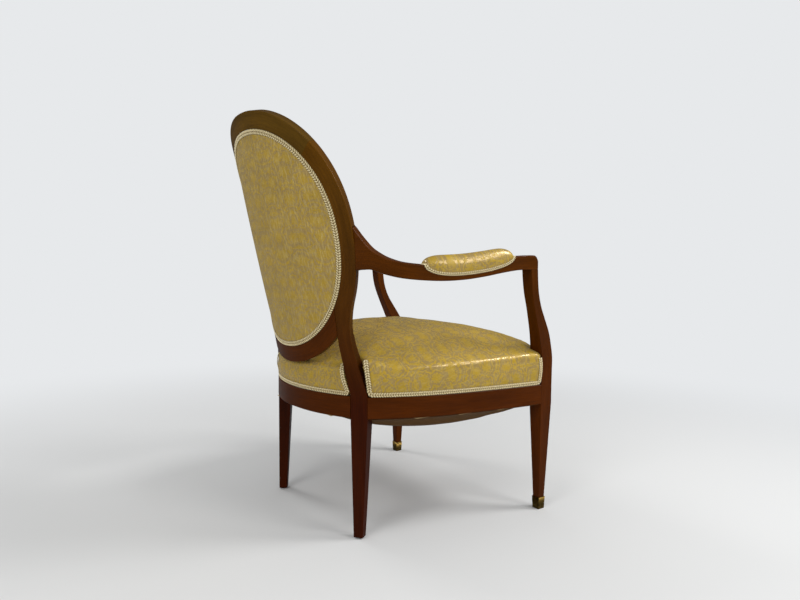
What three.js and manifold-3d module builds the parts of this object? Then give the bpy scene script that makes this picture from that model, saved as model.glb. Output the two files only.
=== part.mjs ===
// A cabriolet armchair: an oval padded back in a curved frame, open arms with arm pads, and a sprung seat.
// Lengths are in millimetres. X points to the sitter's left, Y to the back and Z up.
// Each piece of a pair is drawn once, on the sitter's left, and mirrored for the right.

import * as THREE from "three";
import { mergeVertices } from "three/addons/utils/BufferGeometryUtils.js";
import Module from "manifold-3d";

const wasm = await Module();
wasm.setup();
const { lerp, clamp, degToRad } = THREE.MathUtils;

// Fits
const fit = 0.3; // gap left between pieces that touch
const overrun = 20; // how far a cutter runs past the face that it cuts

// Seat frame
const legHeight = 253.5; // floor to the underside of the rails
const railHeight = 44.5;
const railThickness = 26;
const frontSpan = 571.6; // between the middles of the front posts
const rearSpan = 373.8; // between the middles of the rear posts' outer faces
const seatDepth = 444.4; // from the middle of the front posts to the outer faces of the rear posts
const frontBow = 12;
const rearBow = 45.6;
const sideHandleShares = [
  [0.16, 0.36],
  [0.31, 0.76],
]; // the side rail's two curve handles: inwards, and along from the front
const tenonThickness = 10;
const tenonSetback = 9; // from a rail's outer face to its tenon
const tenonLength = 12;
const tenonShoulder = 7; // above and below a tenon
const tenonRoot = 14; // how far a tenon runs back into its rail

// Front posts: a tapered leg that runs on up as the arm's support
const frontPostSize = 36;
const frontFootSize = 16.4;
const supportTopWidth = 29.4;
const supportTopDepth = 21.3;
const supportSetback = 66; // how far the support sweeps back on its way up
const supportSplay = 19.5; // how far it leans outwards
const postChamfer = 1.5;
const supportShares = [
  [0, 0, 0, 0, 0],
  [0.12, -0.01, -0.01, 0, 0],
  [0.23, -0.02, -0.03, 0, 0],
  [0.34, 0.08, 0.1, 0.4, 0],
  [0.46, 0.26, 0.36, 0.85, 0.13],
  [0.57, 0.48, 0.58, 1.2, 0.5],
  [0.68, 0.7, 0.78, 1.4, 0.9],
  [0.8, 0.88, 0.92, 1.3, 1],
  [0.9, 0.96, 0.98, 1.15, 1],
  [1, 1, 1, 1, 1],
]; // height, setback, splay, and how much of the narrowing in width and in depth is done

// Rear posts: a tapered leg, a waisted stile and the side of the oval in one piece
const rearPostTurn = degToRad(35); // turned out to follow the seat's curve
const rearPostWidth = 38.2;
const rearPostDepth = 31;
const rearFootWidth = 20.5;
const rearFootDepth = 19.4;
const stileWidth = 28.8;
const stileLeanShare = 0.24; // inward lean at the seat, as a slope
const stileRiseShare = 0.05; // outward slope where it reaches the oval

// Oval back, measured on its rear face
const backHalfWidth = 237.8;
const backHalfHeight = 271.2;
const backRoundness = 2.19; // exponent of the oval: 2 is an ellipse
const backEggShare = 0.073; // how much wider it is at the top than at the bottom
const backRadius = 324; // how tightly it curves round the sitter
const backFlareShare = 0.227; // how much flatter it is at the top
const backRake = degToRad(12.2);
const backHollow = 5; // rearward sweep of the top and bottom
const backLift = 57.4; // from the rails' top to the oval's lowest point
const backSetback = 60.9; // from the rear rail's face to the middle of the back
const frameThickness = 24;
const frameFace = 31; // bare wood at the oval's sides
const frameEndShare = 1.17; // how much wider the bare wood is at the top and bottom
const tackingWidth = 14; // ledge inside the bare wood, which the covers are tacked to
const tackingDepth = 3.5; // how far the ledge is set back from the face
const frameChamfer = 2;
const crestJoint = degToRad(43); // angle of the joint between post and crest
const stileJoin = degToRad(-26); // where the stile's outer edge runs into the oval
const crotch = degToRad(-46.4); // where its inner edge meets the oval

// Arms
const armRise = 266.5; // from the rails' top to the joint of support and arm
const armDip = 25; // how far the arm dips behind it
const armDepth = 31;
const armWidth = 30;
const armOverhang = 1; // in front of the support
const armRearHandle = 73;
const armFrontHandle = 196;
const armRound = 5;
const armJoin = degToRad(-3.4); // where the arm springs from the oval
const armLeanShare = 0.2; // how far along the arm it has lost the back's rake
const armShares = [
  [-0.05, 0.18, 3.4, 0.8],
  [0, 0.17, 2.53, 0.8],
  [0.025, 0.16, 1.97, 0.82],
  [0.067, 0.14, 1.26, 0.86],
  [0.12, 0.43, 1.03, 0.92],
  [0.2, 0.75, 0.98, 1],
  [0.3, 0.94, 1, 1],
  [0.4, 1, 1, 1],
  [0.52, 0.9, 1, 1],
  [0.645, 0.62, 1, 1],
  [0.765, 0.26, 1, 1],
  [0.87, 0.03, 1, 1],
  [0.93, 0, 1.04, 1],
  [0.96, 0, 1.05, 1],
  [0.985, 0, 0.95, 0.98],
  [1, 0, 0.62, 0.95],
]; // place along the arm, dip, depth and width
const armTenonSize = 12;
const armTenonLength = 16;

// Covers and padding
const gimpThickness = 2;
const seatGimpWidth = 10;
const backGimpWidth = 11;
const armGimpWidth = 8;
const coverThickness = 2.3;
const coverSetback = 1.2; // between the bare wood's edge and the cover
const backDome = 6; // how far the outside back swells
const backPadCrown = 46;
const hessianThickness = 1.2;
const padEdge = 60; // height of the seat's side above the rail at the rear
const padFrontLift = 14; // how much higher the seat's side is at the front
const padCrown = 140; // height of the seat's middle above the rail
const padBulge = 3;
const padSetback = 2.6; // behind the rails' face, so that the gimp lies flush
const padLip = 5; // bearing on the rail outside the hessian
const hessianRise = 74; // height of the springs' top above the rail
const hessianRun = 49; // how far in from the rail it has risen
const clothSag = 48;
const clothThickness = 0.8;
const armPadLength = 216;
const armPadMiddleShare = 0.57; // along the arm
const armPadSide = 30.5; // how far it reaches round the arm from the middle of the top
const armPadHalfWidth = 20;
const armPadCrown = 23.5; // above the arm
const armPadFall = degToRad(120); // how far round its section goes

// Seat suspension
const webWidth = 60;
const webThickness = 1.2;
const webSag = 2;
const webInset = 6; // from the rail's face to the end of the webbing
const webPitch = 100;
const webMiddle = -10; // the middle of the springs lies forward of the seat's
const springWire = 3.4;
const springEndRadius = 32;
const springWaistRadius = 20;
const springTurns = 5;

// Small parts
const sabotHeight = 28;
const sabotWall = 1;
const sabotBase = 1.5;
const glideRadius = 7.5;
const glideHeight = 2.5;
const glidePinRadius = 1.5;
const glidePinLength = 12;
const blockDepth = 26;
const blockSpan = 104;
const blockSetback = 6; // above and below the block
const screwRadius = 2.5;
const screwHeadRadius = 5;
const screwHeadHeight = 3;
const screwLength = 36;

// Counts and the shares that shape the curves
const arcSteps = 11;
const crestSteps = 14;
const lowerSteps = 20;
const frontSteps = 8;
const sideSteps = 10;
const rearSteps = 8;
const ovalSides = 40;
const armPadSides = 28;
const glideSides = 12;
const screwSides = 8;
const springSides = 4;
const springStepsPerTurn = 7;
const bisections = 30;
const stileShares = [0.2, 0.4, 0.6, 0.8];
const ledgeStartShare = 0.97;
const jointTurn = degToRad(2);
const jointReachShare = 0.3; // how far a joint's cutter runs past it
const quarter = Math.PI / 2;
const cornerTurns = [0, quarter / 2, quarter];
const quarterCorners = [
  [1, 1, 0],
  [-1, 1, quarter],
  [-1, -1, 2 * quarter],
  [1, -1, 3 * quarter],
];
const gimpTurns = [0, quarter / 3, (2 * quarter) / 3, quarter];
const gimpBendShare = 0.6;
const gimpRiseShare = 1.04;
const armPadPower = 0.65; // below 1 it squares the pad's outline
const padSwellPower = 5;
const padReachShares = [0.35, 0.65, 0.85, 0.95, 1];
const padSideShares = [
  [0, 0],
  [0.5, 0.18],
  [1.6, 0.5],
  [1.3, 0.74],
  [-0.2, 0.92],
  [-3.6, 1.02],
]; // the pad's side: swell and height
const crownShares = [0, 0.3, 0.55, 0.75, 0.9];
const crownPower = 2.5;
const hessianShares = [
  [0, 0],
  [0.45, 0.62],
  [1, 1],
];
const clothShares = [
  [0.3, 1, 0],
  [1, 1, 0.15],
  [1.8, 1, 0.58],
  [1.8, 0.75, 0.9],
]; // distance from the rail's face, share of the way out, and sag
const clothLowestShare = 0.45; // how far forwards from the rear rail the cloth hangs lowest
const clothTautShare = 0.85; // how much less it hangs at the front and rear rails
const flatShares = [0, 0.4, 0.7, 1];
const swellShares = [
  [0, 1],
  [0.45, 0.82],
  [0.8, 0.38],
  [1, 0],
];
const backPadShares = [
  [0, 1],
  [0.35, 0.95],
  [0.65, 0.76],
  [0.85, 0.47],
  [0.95, 0.26],
  [0.985, 0.12],
  [1, 0],
];
const screwDomeShare = 0.5;
const glideFootShare = 0.8;

// Derived places
const railTop = legHeight + railHeight;
const armUnderside = railTop + armRise;
const frontPostX = frontSpan / 2;
const frontPostY = -seatDepth / 2;
const rearFace = new THREE.Vector2(rearSpan / 2, seatDepth / 2);
const rearAcross = new THREE.Vector2(Math.cos(rearPostTurn), -Math.sin(rearPostTurn));
const rearOut = new THREE.Vector2(Math.sin(rearPostTurn), Math.cos(rearPostTurn));
const middle = new THREE.Vector2(0, 0);

const lacquer = { roughness: 0.35, metalness: 0 };
const materials = {
  wood: new THREE.MeshStandardMaterial({ color: 0x4f2a16, ...lacquer }),
  beech: new THREE.MeshStandardMaterial({ color: 0xb08a5c, roughness: 0.7, metalness: 0 }),
  damask: new THREE.MeshStandardMaterial({ color: 0xb0943c, roughness: 0.5, metalness: 0 }),
  gimp: new THREE.MeshStandardMaterial({ color: 0xcdbb85, roughness: 0.7, metalness: 0 }),
  jute: new THREE.MeshStandardMaterial({ color: 0x9a7d52, roughness: 0.95, metalness: 0 }),
  cloth: new THREE.MeshStandardMaterial({ color: 0xa0774a, roughness: 0.95, metalness: 0 }),
  brass: new THREE.MeshStandardMaterial({ color: 0x8c7647, roughness: 0.4, metalness: 1 }),
  steel: new THREE.MeshStandardMaterial({ color: 0x6d6a66, roughness: 0.45, metalness: 1 }),
};
const chair = new THREE.Group();

// Solids

// A closed surface with its faces turned outwards.
function outward(points, faces) {
  const volume = faces.reduce((sum, [a, b, c]) => {
    return sum + points[a].dot(new THREE.Vector3().crossVectors(points[b], points[c]));
  }, 0);
  const index = (volume < 0 ? faces.map(([a, b, c]) => [a, c, b]) : faces).flat();
  const geometry = new THREE.BufferGeometry().setFromPoints(points);
  geometry.setIndex(index);
  return geometry;
}

// The flat face that closes a tube's end, as triples of places in its ring.
function endFaces(ring) {
  const normal = new THREE.Vector3();
  const next = (i) => ring[(i + 1) % ring.length];
  ring.forEach((point, i) => normal.add(new THREE.Vector3().crossVectors(point, next(i))));
  normal.normalize();
  const side = new THREE.Vector3().subVectors(ring[1], ring[0]).cross(normal).normalize();
  const rise = new THREE.Vector3().crossVectors(normal, side);
  const flat = ring.map((point) => new THREE.Vector2(point.dot(side), point.dot(rise)));
  return THREE.ShapeUtils.triangulateShape(flat, []);
}

// A surface through rings of points. A ring of one point is a tip. The last ring joins the first in a hoop.
function skin(rings, hoop = false) {
  const points = rings.flat();
  const starts = rings.map((ring, i) => rings.slice(0, i).flat().length);
  const faces = [];
  const joins = hoop ? rings.length : rings.length - 1;
  for (let i = 0; i < joins; i++) {
    const next = (i + 1) % rings.length;
    const count = Math.max(rings[i].length, rings[next].length);
    for (let j = 0; j < count; j++) {
      const k = (j + 1) % count;
      const [a, b] = [j, k].map((m) => starts[i] + (m % rings[i].length));
      const [c, d] = [j, k].map((m) => starts[next] + (m % rings[next].length));
      if (a !== b) faces.push([a, b, d]);
      if (c !== d) faces.push([a, d, c]);
    }
  }
  if (!hoop && rings[0].length > 1) endFaces(rings[0]).forEach((face) => faces.push(face.toReversed()));
  const last = starts.at(-1);
  if (!hoop && rings.at(-1).length > 1) {
    endFaces(rings.at(-1)).forEach((face) => faces.push(face.map((m) => m + last)));
  }
  return outward(points, faces);
}

function toSolid(geometry) {
  const bare = new THREE.BufferGeometry();
  bare.setAttribute("position", geometry.getAttribute("position").clone());
  bare.setIndex(geometry.index ? geometry.index.clone() : null);
  const merged = mergeVertices(bare, 1e-4);
  return new wasm.Manifold(
    new wasm.Mesh({
      numProp: 3,
      vertProperties: merged.attributes.position.array,
      triVerts: new Uint32Array(merged.index.array),
    }),
  );
}

function toGeometry(solid) {
  const made = solid.getMesh();
  const geometry = new THREE.BufferGeometry();
  geometry.setAttribute("position", new THREE.BufferAttribute(made.vertProperties, made.numProp));
  geometry.setIndex(new THREE.BufferAttribute(made.triVerts, 1));
  return geometry;
}

const cut = (blank, ...cutters) =>
  toGeometry(cutters.reduce((solid, cutter) => solid.subtract(toSolid(cutter)), toSolid(blank)));
const join = (blank, ...additions) =>
  toGeometry(additions.reduce((solid, more) => solid.add(toSolid(more)), toSolid(blank)));

function mirrored(geometry) {
  const twin = geometry.clone();
  const position = twin.getAttribute("position");
  for (let i = 0; i < position.count; i++) position.setX(i, -position.getX(i));
  const index = twin.index.array;
  for (let i = 0; i < index.length; i += 3) [index[i + 1], index[i + 2]] = [index[i + 2], index[i + 1]];
  return twin;
}

const both = (geometry) => [geometry, mirrored(geometry)];

function add(name, geometry, material) {
  const piece = new THREE.Mesh(geometry, material.clone());
  piece.name = name;
  chair.add(piece);
}

function addPair(name, geometry, material) {
  add(`${name}_left`, geometry, material);
  add(`${name}_right`, mirrored(geometry), material);
}

const at = (plan, z) => new THREE.Vector3(plan.x, plan.y, z);
const offset = (plan, direction, distance) => plan.clone().addScaledVector(direction, distance);

// A round bar along a direction, through a list of places along it and radii there.
function turned(base, direction, profile, sides) {
  const side = new THREE.Vector3(-direction.y, direction.x, 0);
  if (side.lengthSq() === 0) side.set(1, 0, 0);
  side.normalize();
  const other = new THREE.Vector3().crossVectors(direction, side);
  const rings = profile.map(([along, radius]) => {
    const centre = base.clone().addScaledVector(direction, along);
    return Array.from({ length: sides }, (_, i) => {
      const angle = (2 * Math.PI * i) / sides;
      const point = centre.clone().addScaledVector(side, radius * Math.cos(angle));
      return point.addScaledVector(other, radius * Math.sin(angle));
    });
  });
  return skin(rings);
}

// Seat plan: the outer faces of the four rails, followed anticlockwise
const frontCorner = new THREE.Vector2(frontPostX - frontPostSize / 2, frontPostY - frontPostSize / 2);
const sideFront = new THREE.Vector2(frontPostX + frontPostSize / 2, frontPostY + frontPostSize / 2);
const sideRear = offset(rearFace, rearAcross, rearPostWidth / 2);
const rearCorner = offset(rearFace, rearAcross, -rearPostWidth / 2);
const sideHandles = sideHandleShares.map(([inwards, back]) => {
  return new THREE.Vector2(lerp(sideFront.x, sideRear.x, inwards), lerp(sideFront.y, sideRear.y, back));
});
const mirrorPlan = (plan) => new THREE.Vector2(-plan.x, plan.y);

function bowed(from, to, bow) {
  const handle = from.clone().add(to).divideScalar(2);
  handle.y += 2 * bow;
  return new THREE.QuadraticBezierCurve(from, handle, to);
}

const frontCurve = bowed(mirrorPlan(frontCorner), frontCorner, -frontBow);
const sideCurve = new THREE.CubicBezierCurve(sideFront, ...sideHandles, sideRear);
const rearCurve = bowed(rearCorner, mirrorPlan(rearCorner), rearBow);

// A stop on a curve of the plan at a share of its length: its point, its direction and the way outwards.
function stopAt(curve, share) {
  const tangent = curve.getTangentAt(clamp(share, 0, 1));
  const point = curve.getPointAt(clamp(share, 0, 1));
  const past = (share - clamp(share, 0, 1)) * curve.getLength();
  return { point: offset(point, tangent, past), tangent, out: new THREE.Vector2(tangent.y, -tangent.x) };
}

// Even stops along a curve, run on straight past both ends by a length.
function stopsAlong(curve, steps, reach = 0) {
  const past = reach / curve.getLength();
  const inner = Array.from({ length: steps + 1 }, (_, i) => stopAt(curve, i / steps));
  return reach > 0 ? [stopAt(curve, -past), ...inner, stopAt(curve, 1 + past)] : inner;
}

// A bar along stops, between two distances behind the curve and two heights.
function bar(stops, near, far, low, high) {
  return skin(
    stops.map(({ point, out }) => [
      at(offset(point, out, -near), low),
      at(offset(point, out, -far), low),
      at(offset(point, out, -far), high),
      at(offset(point, out, -near), high),
    ]),
  );
}

// Back surface: u runs across it, v up it, and depth forwards from its rear face

const backCentreY = rearCorner.y + rearBow + backSetback;
const backCentreZ = railTop + backLift + backHalfHeight * Math.cos(backRake);
const backRadiusAt = (v) => backRadius * (1 + (backFlareShare * v) / backHalfHeight);

function backSurface({ u, v }) {
  const radius = backRadiusAt(v);
  const turn = u / radius;
  const hollow = backHollow * (v / backHalfHeight) ** 2;
  return new THREE.Vector3(
    radius * Math.sin(turn),
    backCentreY + radius * (Math.cos(turn) - 1) + v * Math.sin(backRake) + hollow,
    backCentreZ + v * Math.cos(backRake),
  );
}

const backAcross = ({ u, v }) => {
  const turn = u / backRadiusAt(v);
  return new THREE.Vector3(Math.cos(turn), -Math.sin(turn), 0);
};

// The normal of the rear face, pointing backwards.
function backNormal(place) {
  const turn = place.u / backRadiusAt(place.v);
  const growth = (backRadius * backFlareShare) / backHalfHeight;
  const rise = new THREE.Vector3(
    growth * (Math.sin(turn) - turn * Math.cos(turn)),
    growth * (Math.cos(turn) - 1 + turn * Math.sin(turn)) +
      Math.sin(backRake) +
      (2 * backHollow * place.v) / backHalfHeight ** 2,
    Math.cos(backRake),
  );
  return rise.cross(backAcross(place)).normalize();
}

const backPoint = (place, depth) => backSurface(place).addScaledVector(backNormal(place), -depth);
const rounded = (value) => Math.sign(value) * Math.abs(value) ** (2 / backRoundness);

// A place on the oval at an angle, inset from its outer edge.
function ovalEdge(angle, inset = 0) {
  const v = rounded(Math.sin(angle));
  const u = rounded(Math.cos(angle)) * (1 + backEggShare * v);
  return { u: (backHalfWidth - inset) * u, v: (backHalfHeight - inset * frameEndShare) * v };
}

const between = (from, to, share) => ({ u: lerp(from.u, to.u, share), v: lerp(from.v, to.v, share) });
const spread = (from, to) => Math.hypot(to.u - from.u, to.v - from.v);

// Back frame and rear posts

const ledgeInset = frameFace + tackingWidth;
const bareShare = frameFace / ledgeInset;

// A section of the frame, as a place for each distance across it and depth into it.
// With ledge 0 its corners are chamfered, and with ledge 1 it has the two tacking ledges.
function frameSection({ place, width, thickness, ledge, bare }, grow = 0) {
  const [wide, thick] = [width + 2 * grow, thickness + 2 * grow];
  const step = lerp(wide - frameChamfer, bare * width + 2 * grow, ledge);
  const bend = lerp(wide - frameChamfer / 2, bare * width + 2 * grow, ledge);
  const rear = [
    [frameChamfer, 0],
    [step, 0],
    [bend, lerp(frameChamfer / 2, tackingDepth, ledge)],
    [wide, lerp(frameChamfer, tackingDepth, ledge)],
  ];
  const front = rear.map(([across, depth]) => [across, thick - depth]).reverse();
  const edge = [
    [0, thick - frameChamfer],
    [0, frameChamfer],
  ];
  return [...rear, ...front, ...edge].map(([across, depth]) => place(across - grow, depth - grow));
}

// A section of the curved frame between a place on its outer edge and one on its inner edge.
function backStation(outer, inner, ledge = 1, bare = bareShare) {
  const width = spread(outer, inner);
  const place = (across, depth) => backPoint(between(outer, inner, across / width), depth);
  return { place, width, thickness: frameThickness, ledge, bare };
}

const ringStation = (angle) => backStation(ovalEdge(angle), ovalEdge(angle, ledgeInset));

function rearLegStation(height) {
  const share = clamp(height / legHeight, 0, 1);
  const width = lerp(rearFootWidth, rearPostWidth, share);
  const thickness = lerp(rearFootDepth, rearPostDepth, share);
  const place = (across, depth) => {
    const side = offset(rearFace, rearAcross, width / 2 - across);
    return at(offset(side, rearOut, -depth), height);
  };
  return { place, width, thickness, ledge: 0, bare: bareShare };
}

const crotchEdge = ovalEdge(crotch);
const stileMiddle = { u: crotchEdge.u + stileWidth / 2, v: crotchEdge.v };
const joinEdge = ovalEdge(stileJoin);
const joinLedge = ovalEdge(stileJoin, ledgeInset);
const joinShares = [0, bareShare / 2, bareShare, 1]; // stations up the joint with the lower rail

// The middle of the stile's rear face, from the seat to the place where it meets the oval.
function stileCurve() {
  const foot = at(rearFace, railTop);
  const top = backSurface(stileMiddle);
  const under = backSurface({
    u: stileMiddle.u - stileRiseShare * stileWidth,
    v: stileMiddle.v - stileWidth,
  });
  const handle = top.distanceTo(foot) / 3;
  const leaning = at(rearAcross.clone().multiplyScalar(-stileLeanShare), 1).normalize();
  return new THREE.CubicBezierCurve3(
    foot,
    foot.clone().addScaledVector(leaning, handle),
    top.clone().addScaledVector(under.sub(top).normalize(), handle),
    top,
  );
}

function stileStation(curve, share) {
  const ease = THREE.MathUtils.smoothstep(share, 0, 1);
  const width = lerp(rearPostWidth, stileWidth, ease);
  const across3 = at(rearAcross, 0).lerp(backAcross(stileMiddle), share).normalize();
  const out3 = at(rearOut, 0).lerp(backNormal(stileMiddle), share).normalize();
  const place = (across, depth) =>
    curve.getPoint(share).addScaledVector(across3, width / 2 - across).addScaledVector(out3, -depth);
  return { place, width, thickness: lerp(rearPostDepth, frameThickness, ease), ledge: 0, bare: bareShare };
}

// The stretch where the stile widens into the oval: its outer edge sweeps into the oval's,
// and its inner edge is the joint with the oval's lower rail.
function joiningStations() {
  const start = { u: stileMiddle.u + stileWidth / 2, v: stileMiddle.v };
  const handle = spread(start, joinEdge) / 3;
  const ahead = ovalEdge(stileJoin + jointTurn);
  const run = spread(joinEdge, ahead);
  const edge = new THREE.CubicBezierCurve(
    new THREE.Vector2(start.u, start.v),
    new THREE.Vector2(start.u + stileRiseShare * handle, start.v + handle),
    new THREE.Vector2(
      joinEdge.u - (handle * (ahead.u - joinEdge.u)) / run,
      joinEdge.v - (handle * (ahead.v - joinEdge.v)) / run,
    ),
    new THREE.Vector2(joinEdge.u, joinEdge.v),
  );
  const station = (share, ledge, bare) => {
    const outer = edge.getPoint(share);
    return backStation({ u: outer.x, v: outer.y }, between(crotchEdge, joinLedge, share), ledge, bare);
  };
  const [foot, half, bare, top] = joinShares;
  return [station(foot, 0), station(half, 0), station(bare, 1, ledgeStartShare), station(top, 1)];
}

function rearLegStations(lowest) {
  const curve = stileCurve();
  const stile = stileShares.map((share) => stileStation(curve, share));
  return [rearLegStation(lowest), rearLegStation(legHeight), rearLegStation(railTop), ...stile];
}

function rearPost(grow) {
  const end = crestJoint - fit / 2 / backHalfWidth + grow / backHalfWidth;
  const angles = Array.from({ length: arcSteps }, (_, i) => lerp(stileJoin, end, (i + 1) / arcSteps));
  const arc = angles.map(ringStation);
  const stations = [...rearLegStations(glideHeight + fit), ...joiningStations(), ...arc];
  return skin(stations.map((station) => frameSection(station, grow)));
}

// Cutters that clear the posts and everything outside them, up past the seat's crown.
function rearNotch() {
  const stile = [...rearLegStations(legHeight).slice(1), joiningStations()[0]];
  const stations = [rearLegStation(legHeight - clothSag - overrun), ...stile];
  return skin(
    stations.map(({ place, width, thickness }) => [
      place(-fit, -overrun),
      place(width + fit, -overrun),
      place(width + fit, thickness + fit),
      place(-fit, thickness + fit),
    ]),
  );
}

function frontNotch() {
  const leg = [legHeight - clothSag - overrun, legHeight].map(frontLegStation);
  const stations = [...leg, ...supportStations().slice(0, -3)];
  return skin(
    stations.map(({ x, y, z, width, depth }) => {
      const [inner, outer] = [x - width / 2 - fit, x + width / 2 + overrun];
      const [rear, front] = [y + depth / 2 + fit, y - depth / 2 - overrun];
      return [
        new THREE.Vector3(inner, front, z),
        new THREE.Vector3(outer, front, z),
        new THREE.Vector3(outer, rear, z),
        new THREE.Vector3(inner, rear, z),
      ];
    }),
  );
}

function crestRail() {
  const end = fit / 2 / backHalfWidth;
  const [from, to] = [crestJoint + end, Math.PI - crestJoint - end];
  const angles = Array.from({ length: crestSteps + 1 }, (_, i) => lerp(from, to, i / crestSteps));
  return skin(angles.map((angle) => frameSection(ringStation(angle))));
}

// The oval's lower rail fills the space between the two stiles.
function lowerBackRail() {
  const [from, to] = [stileJoin + jointTurn, -Math.PI - stileJoin - jointTurn];
  const angles = Array.from({ length: lowerSteps + 1 }, (_, i) => lerp(from, to, i / lowerSteps));
  const beyondJoint = skin(
    [-1, ...joinShares, 1 + jointReachShare].map((share) => {
      const { u, v } = between(crotchEdge, joinLedge, share);
      const [near, far] = [u - fit, u + backHalfWidth].map((place) => ({ u: place, v }));
      const [rear, front] = [-overrun, frameThickness + overrun];
      return [backPoint(near, rear), backPoint(far, rear), backPoint(far, front), backPoint(near, front)];
    }),
  );
  return cut(skin(angles.map((angle) => frameSection(ringStation(angle)))), ...both(beyondJoint));
}

// Front posts

function frontLegStation(height) {
  const size = lerp(frontFootSize, frontPostSize, clamp(height / legHeight, 0, 1));
  return { x: frontPostX, y: frontPostY, z: height, width: size, depth: size };
}

const supportStations = () =>
  supportShares.map(([rise, back, splay, narrow, thin]) => ({
    x: frontPostX + supportSplay * splay,
    y: frontPostY + supportSetback * back,
    z: lerp(railTop, armUnderside - fit, rise),
    width: lerp(frontPostSize, supportTopWidth, narrow),
    depth: lerp(frontPostSize, supportTopDepth, thin),
  }));

// A square section with its four arrises taken off.
function squareSection({ x, y, z, width, depth }, chamfer) {
  const [a, b] = [width / 2, depth / 2];
  const corners = [
    [a, b - chamfer],
    [a - chamfer, b],
    [chamfer - a, b],
    [-a, b - chamfer],
    [-a, chamfer - b],
    [chamfer - a, -b],
    [a - chamfer, -b],
    [a, chamfer - b],
  ];
  return corners.map(([dx, dy]) => new THREE.Vector3(x + dx, y + dy, z));
}

function supportTenon(grow) {
  const { x, y, z } = supportStations().at(-1);
  const size = armTenonSize + 2 * grow;
  const ends = [z - tenonShoulder, z + armTenonLength + grow];
  const sections = ends.map((height) => ({ x, y, z: height, width: size, depth: size }));
  return skin(sections.map((section) => squareSection(section, postChamfer)));
}

function frontPost() {
  const stations = [frontLegStation(sabotBase + fit), frontLegStation(legHeight), ...supportStations()];
  const blank = skin(stations.map((station) => squareSection(station, postChamfer)));
  return join(blank, supportTenon(0));
}

// Rails, tenoned into the posts

function railTenon(curve, end, grow) {
  const length = curve.getLength();
  const [from, to] = [-tenonRoot / length, (tenonLength + grow) / length];
  const shares = end === 1 ? [1 + from, 1 + to] : [-to, -from];
  const stops = shares.map((share) => stopAt(curve, share));
  const [near, far] = [tenonSetback - grow, tenonSetback + tenonThickness + grow];
  return bar(stops, near, far, legHeight + tenonShoulder - grow, railTop - tenonShoulder + grow);
}

function rail(curve, steps, cutters) {
  const blank = bar(stopsAlong(curve, steps, tenonShoulder), 0, railThickness, legHeight, railTop);
  return join(cut(blank, ...cutters), railTenon(curve, 0, 0), railTenon(curve, 1, 0));
}

// Everything from a rail's inner face outwards, to fit what lies inside the seat against it.
function railCutter(curve, steps) {
  const [low, high] = [legHeight - overrun, railTop + overrun];
  return bar(stopsAlong(curve, steps, overrun), -2 * overrun, railThickness + fit, low, high);
}

// Corner blocks, glued behind the posts and screwed to them
const blockLow = legHeight + blockSetback;
const blockHigh = railTop - blockSetback;
const blockMiddle = (blockLow + blockHigh) / 2;
const inwards = new THREE.Vector2(-1, 1).normalize();
const frontBlockFace = offset(
  new THREE.Vector2(frontPostX - frontPostSize / 2, frontPostY + frontPostSize / 2),
  inwards,
  fit,
);
const rearBlockFace = offset(rearFace, rearOut, -rearPostDepth - fit);

function cornerBlock(face, inward, cutters) {
  const side = new THREE.Vector2(-inward.y, inward.x);
  const deep = offset(face, inward, blockDepth);
  const plan = [
    offset(face, side, blockSpan / 2),
    offset(deep, side, blockSpan / 2),
    offset(deep, side, -blockSpan / 2),
    offset(face, side, -blockSpan / 2),
  ];
  return cut(skin([blockLow, blockHigh].map((z) => plan.map((point) => at(point, z)))), ...cutters);
}

function blockScrew(face, inward, grow) {
  const base = at(offset(face, inward, blockDepth), blockMiddle);
  const profile = [
    [-screwHeadHeight, screwHeadRadius * screwDomeShare],
    [-fit, screwHeadRadius],
    [-fit, screwRadius + grow],
    [screwLength + grow, screwRadius + grow],
  ];
  return turned(base, at(inward, 0).negate(), grow > 0 ? profile.slice(2) : profile, screwSides);
}

// Arms

const armRoot = backPoint(ovalEdge(armJoin), frameThickness / 2);

function armCurve() {
  const root = new THREE.Vector2(armRoot.x, armRoot.y);
  const out = backAcross(ovalEdge(armJoin));
  const support = supportStations().at(-1);
  const tip = new THREE.Vector2(support.x, support.y - support.depth / 2 - armOverhang);
  const rearHandle = new THREE.Vector2(root.x + out.x * armRearHandle, root.y + out.y * armRearHandle);
  const frontHandle = new THREE.Vector2(tip.x, tip.y + armFrontHandle);
  return new THREE.CubicBezierCurve(root, rearHandle, frontHandle, tip);
}

const armLine = armCurve();

function armStation([share, dip, depth, width]) {
  const low = armUnderside - armDip * dip;
  const lean = Math.tan(backRake) * clamp(1 - share / armLeanShare, 0, 1);
  return { ...stopAt(armLine, share), low, high: low + armDepth * depth, width: armWidth * width, lean };
}

// The arm between its drawn stations.
function armAt(share) {
  const next = clamp(armShares.findIndex(([place]) => place >= share), 1, armShares.length - 1);
  const [from, to] = [armShares[next - 1], armShares[next]];
  const step = (share - from[0]) / (to[0] - from[0]);
  return armStation(from.map((value, i) => lerp(value, to[i], step)));
}

// A section of the arm with rounded corners, grown all round.
function armSection({ point, out, low, high, width, lean }, grow = 0) {
  const [a, b] = [width / 2 - armRound, (high - low) / 2 - armRound];
  const radius = armRound + grow;
  const centre = (low + high) / 2;
  return quarterCorners.flatMap(([signX, signZ, start]) =>
    cornerTurns.map((turn) => {
      const rise = centre + signZ * b + radius * Math.sin(start + turn);
      const raked = out.y * lean * (rise - armRoot.z);
      return at(offset(point, out, signX * a + radius * Math.cos(start + turn) + raked), rise);
    }),
  );
}

const armBlank = (grow) => skin(armShares.map((row) => armSection(armStation(row), grow)));

function armTenon(grow) {
  const length = armLine.getLength();
  const shares = [-(armTenonLength + grow) / length, tenonShoulder / length];
  const reach = armTenonSize + grow;
  return bar(
    shares.map((share) => stopAt(armLine, share)),
    -armTenonSize / 2 - grow,
    armTenonSize / 2 + grow,
    armRoot.z - reach,
    armRoot.z + reach,
  );
}

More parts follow.
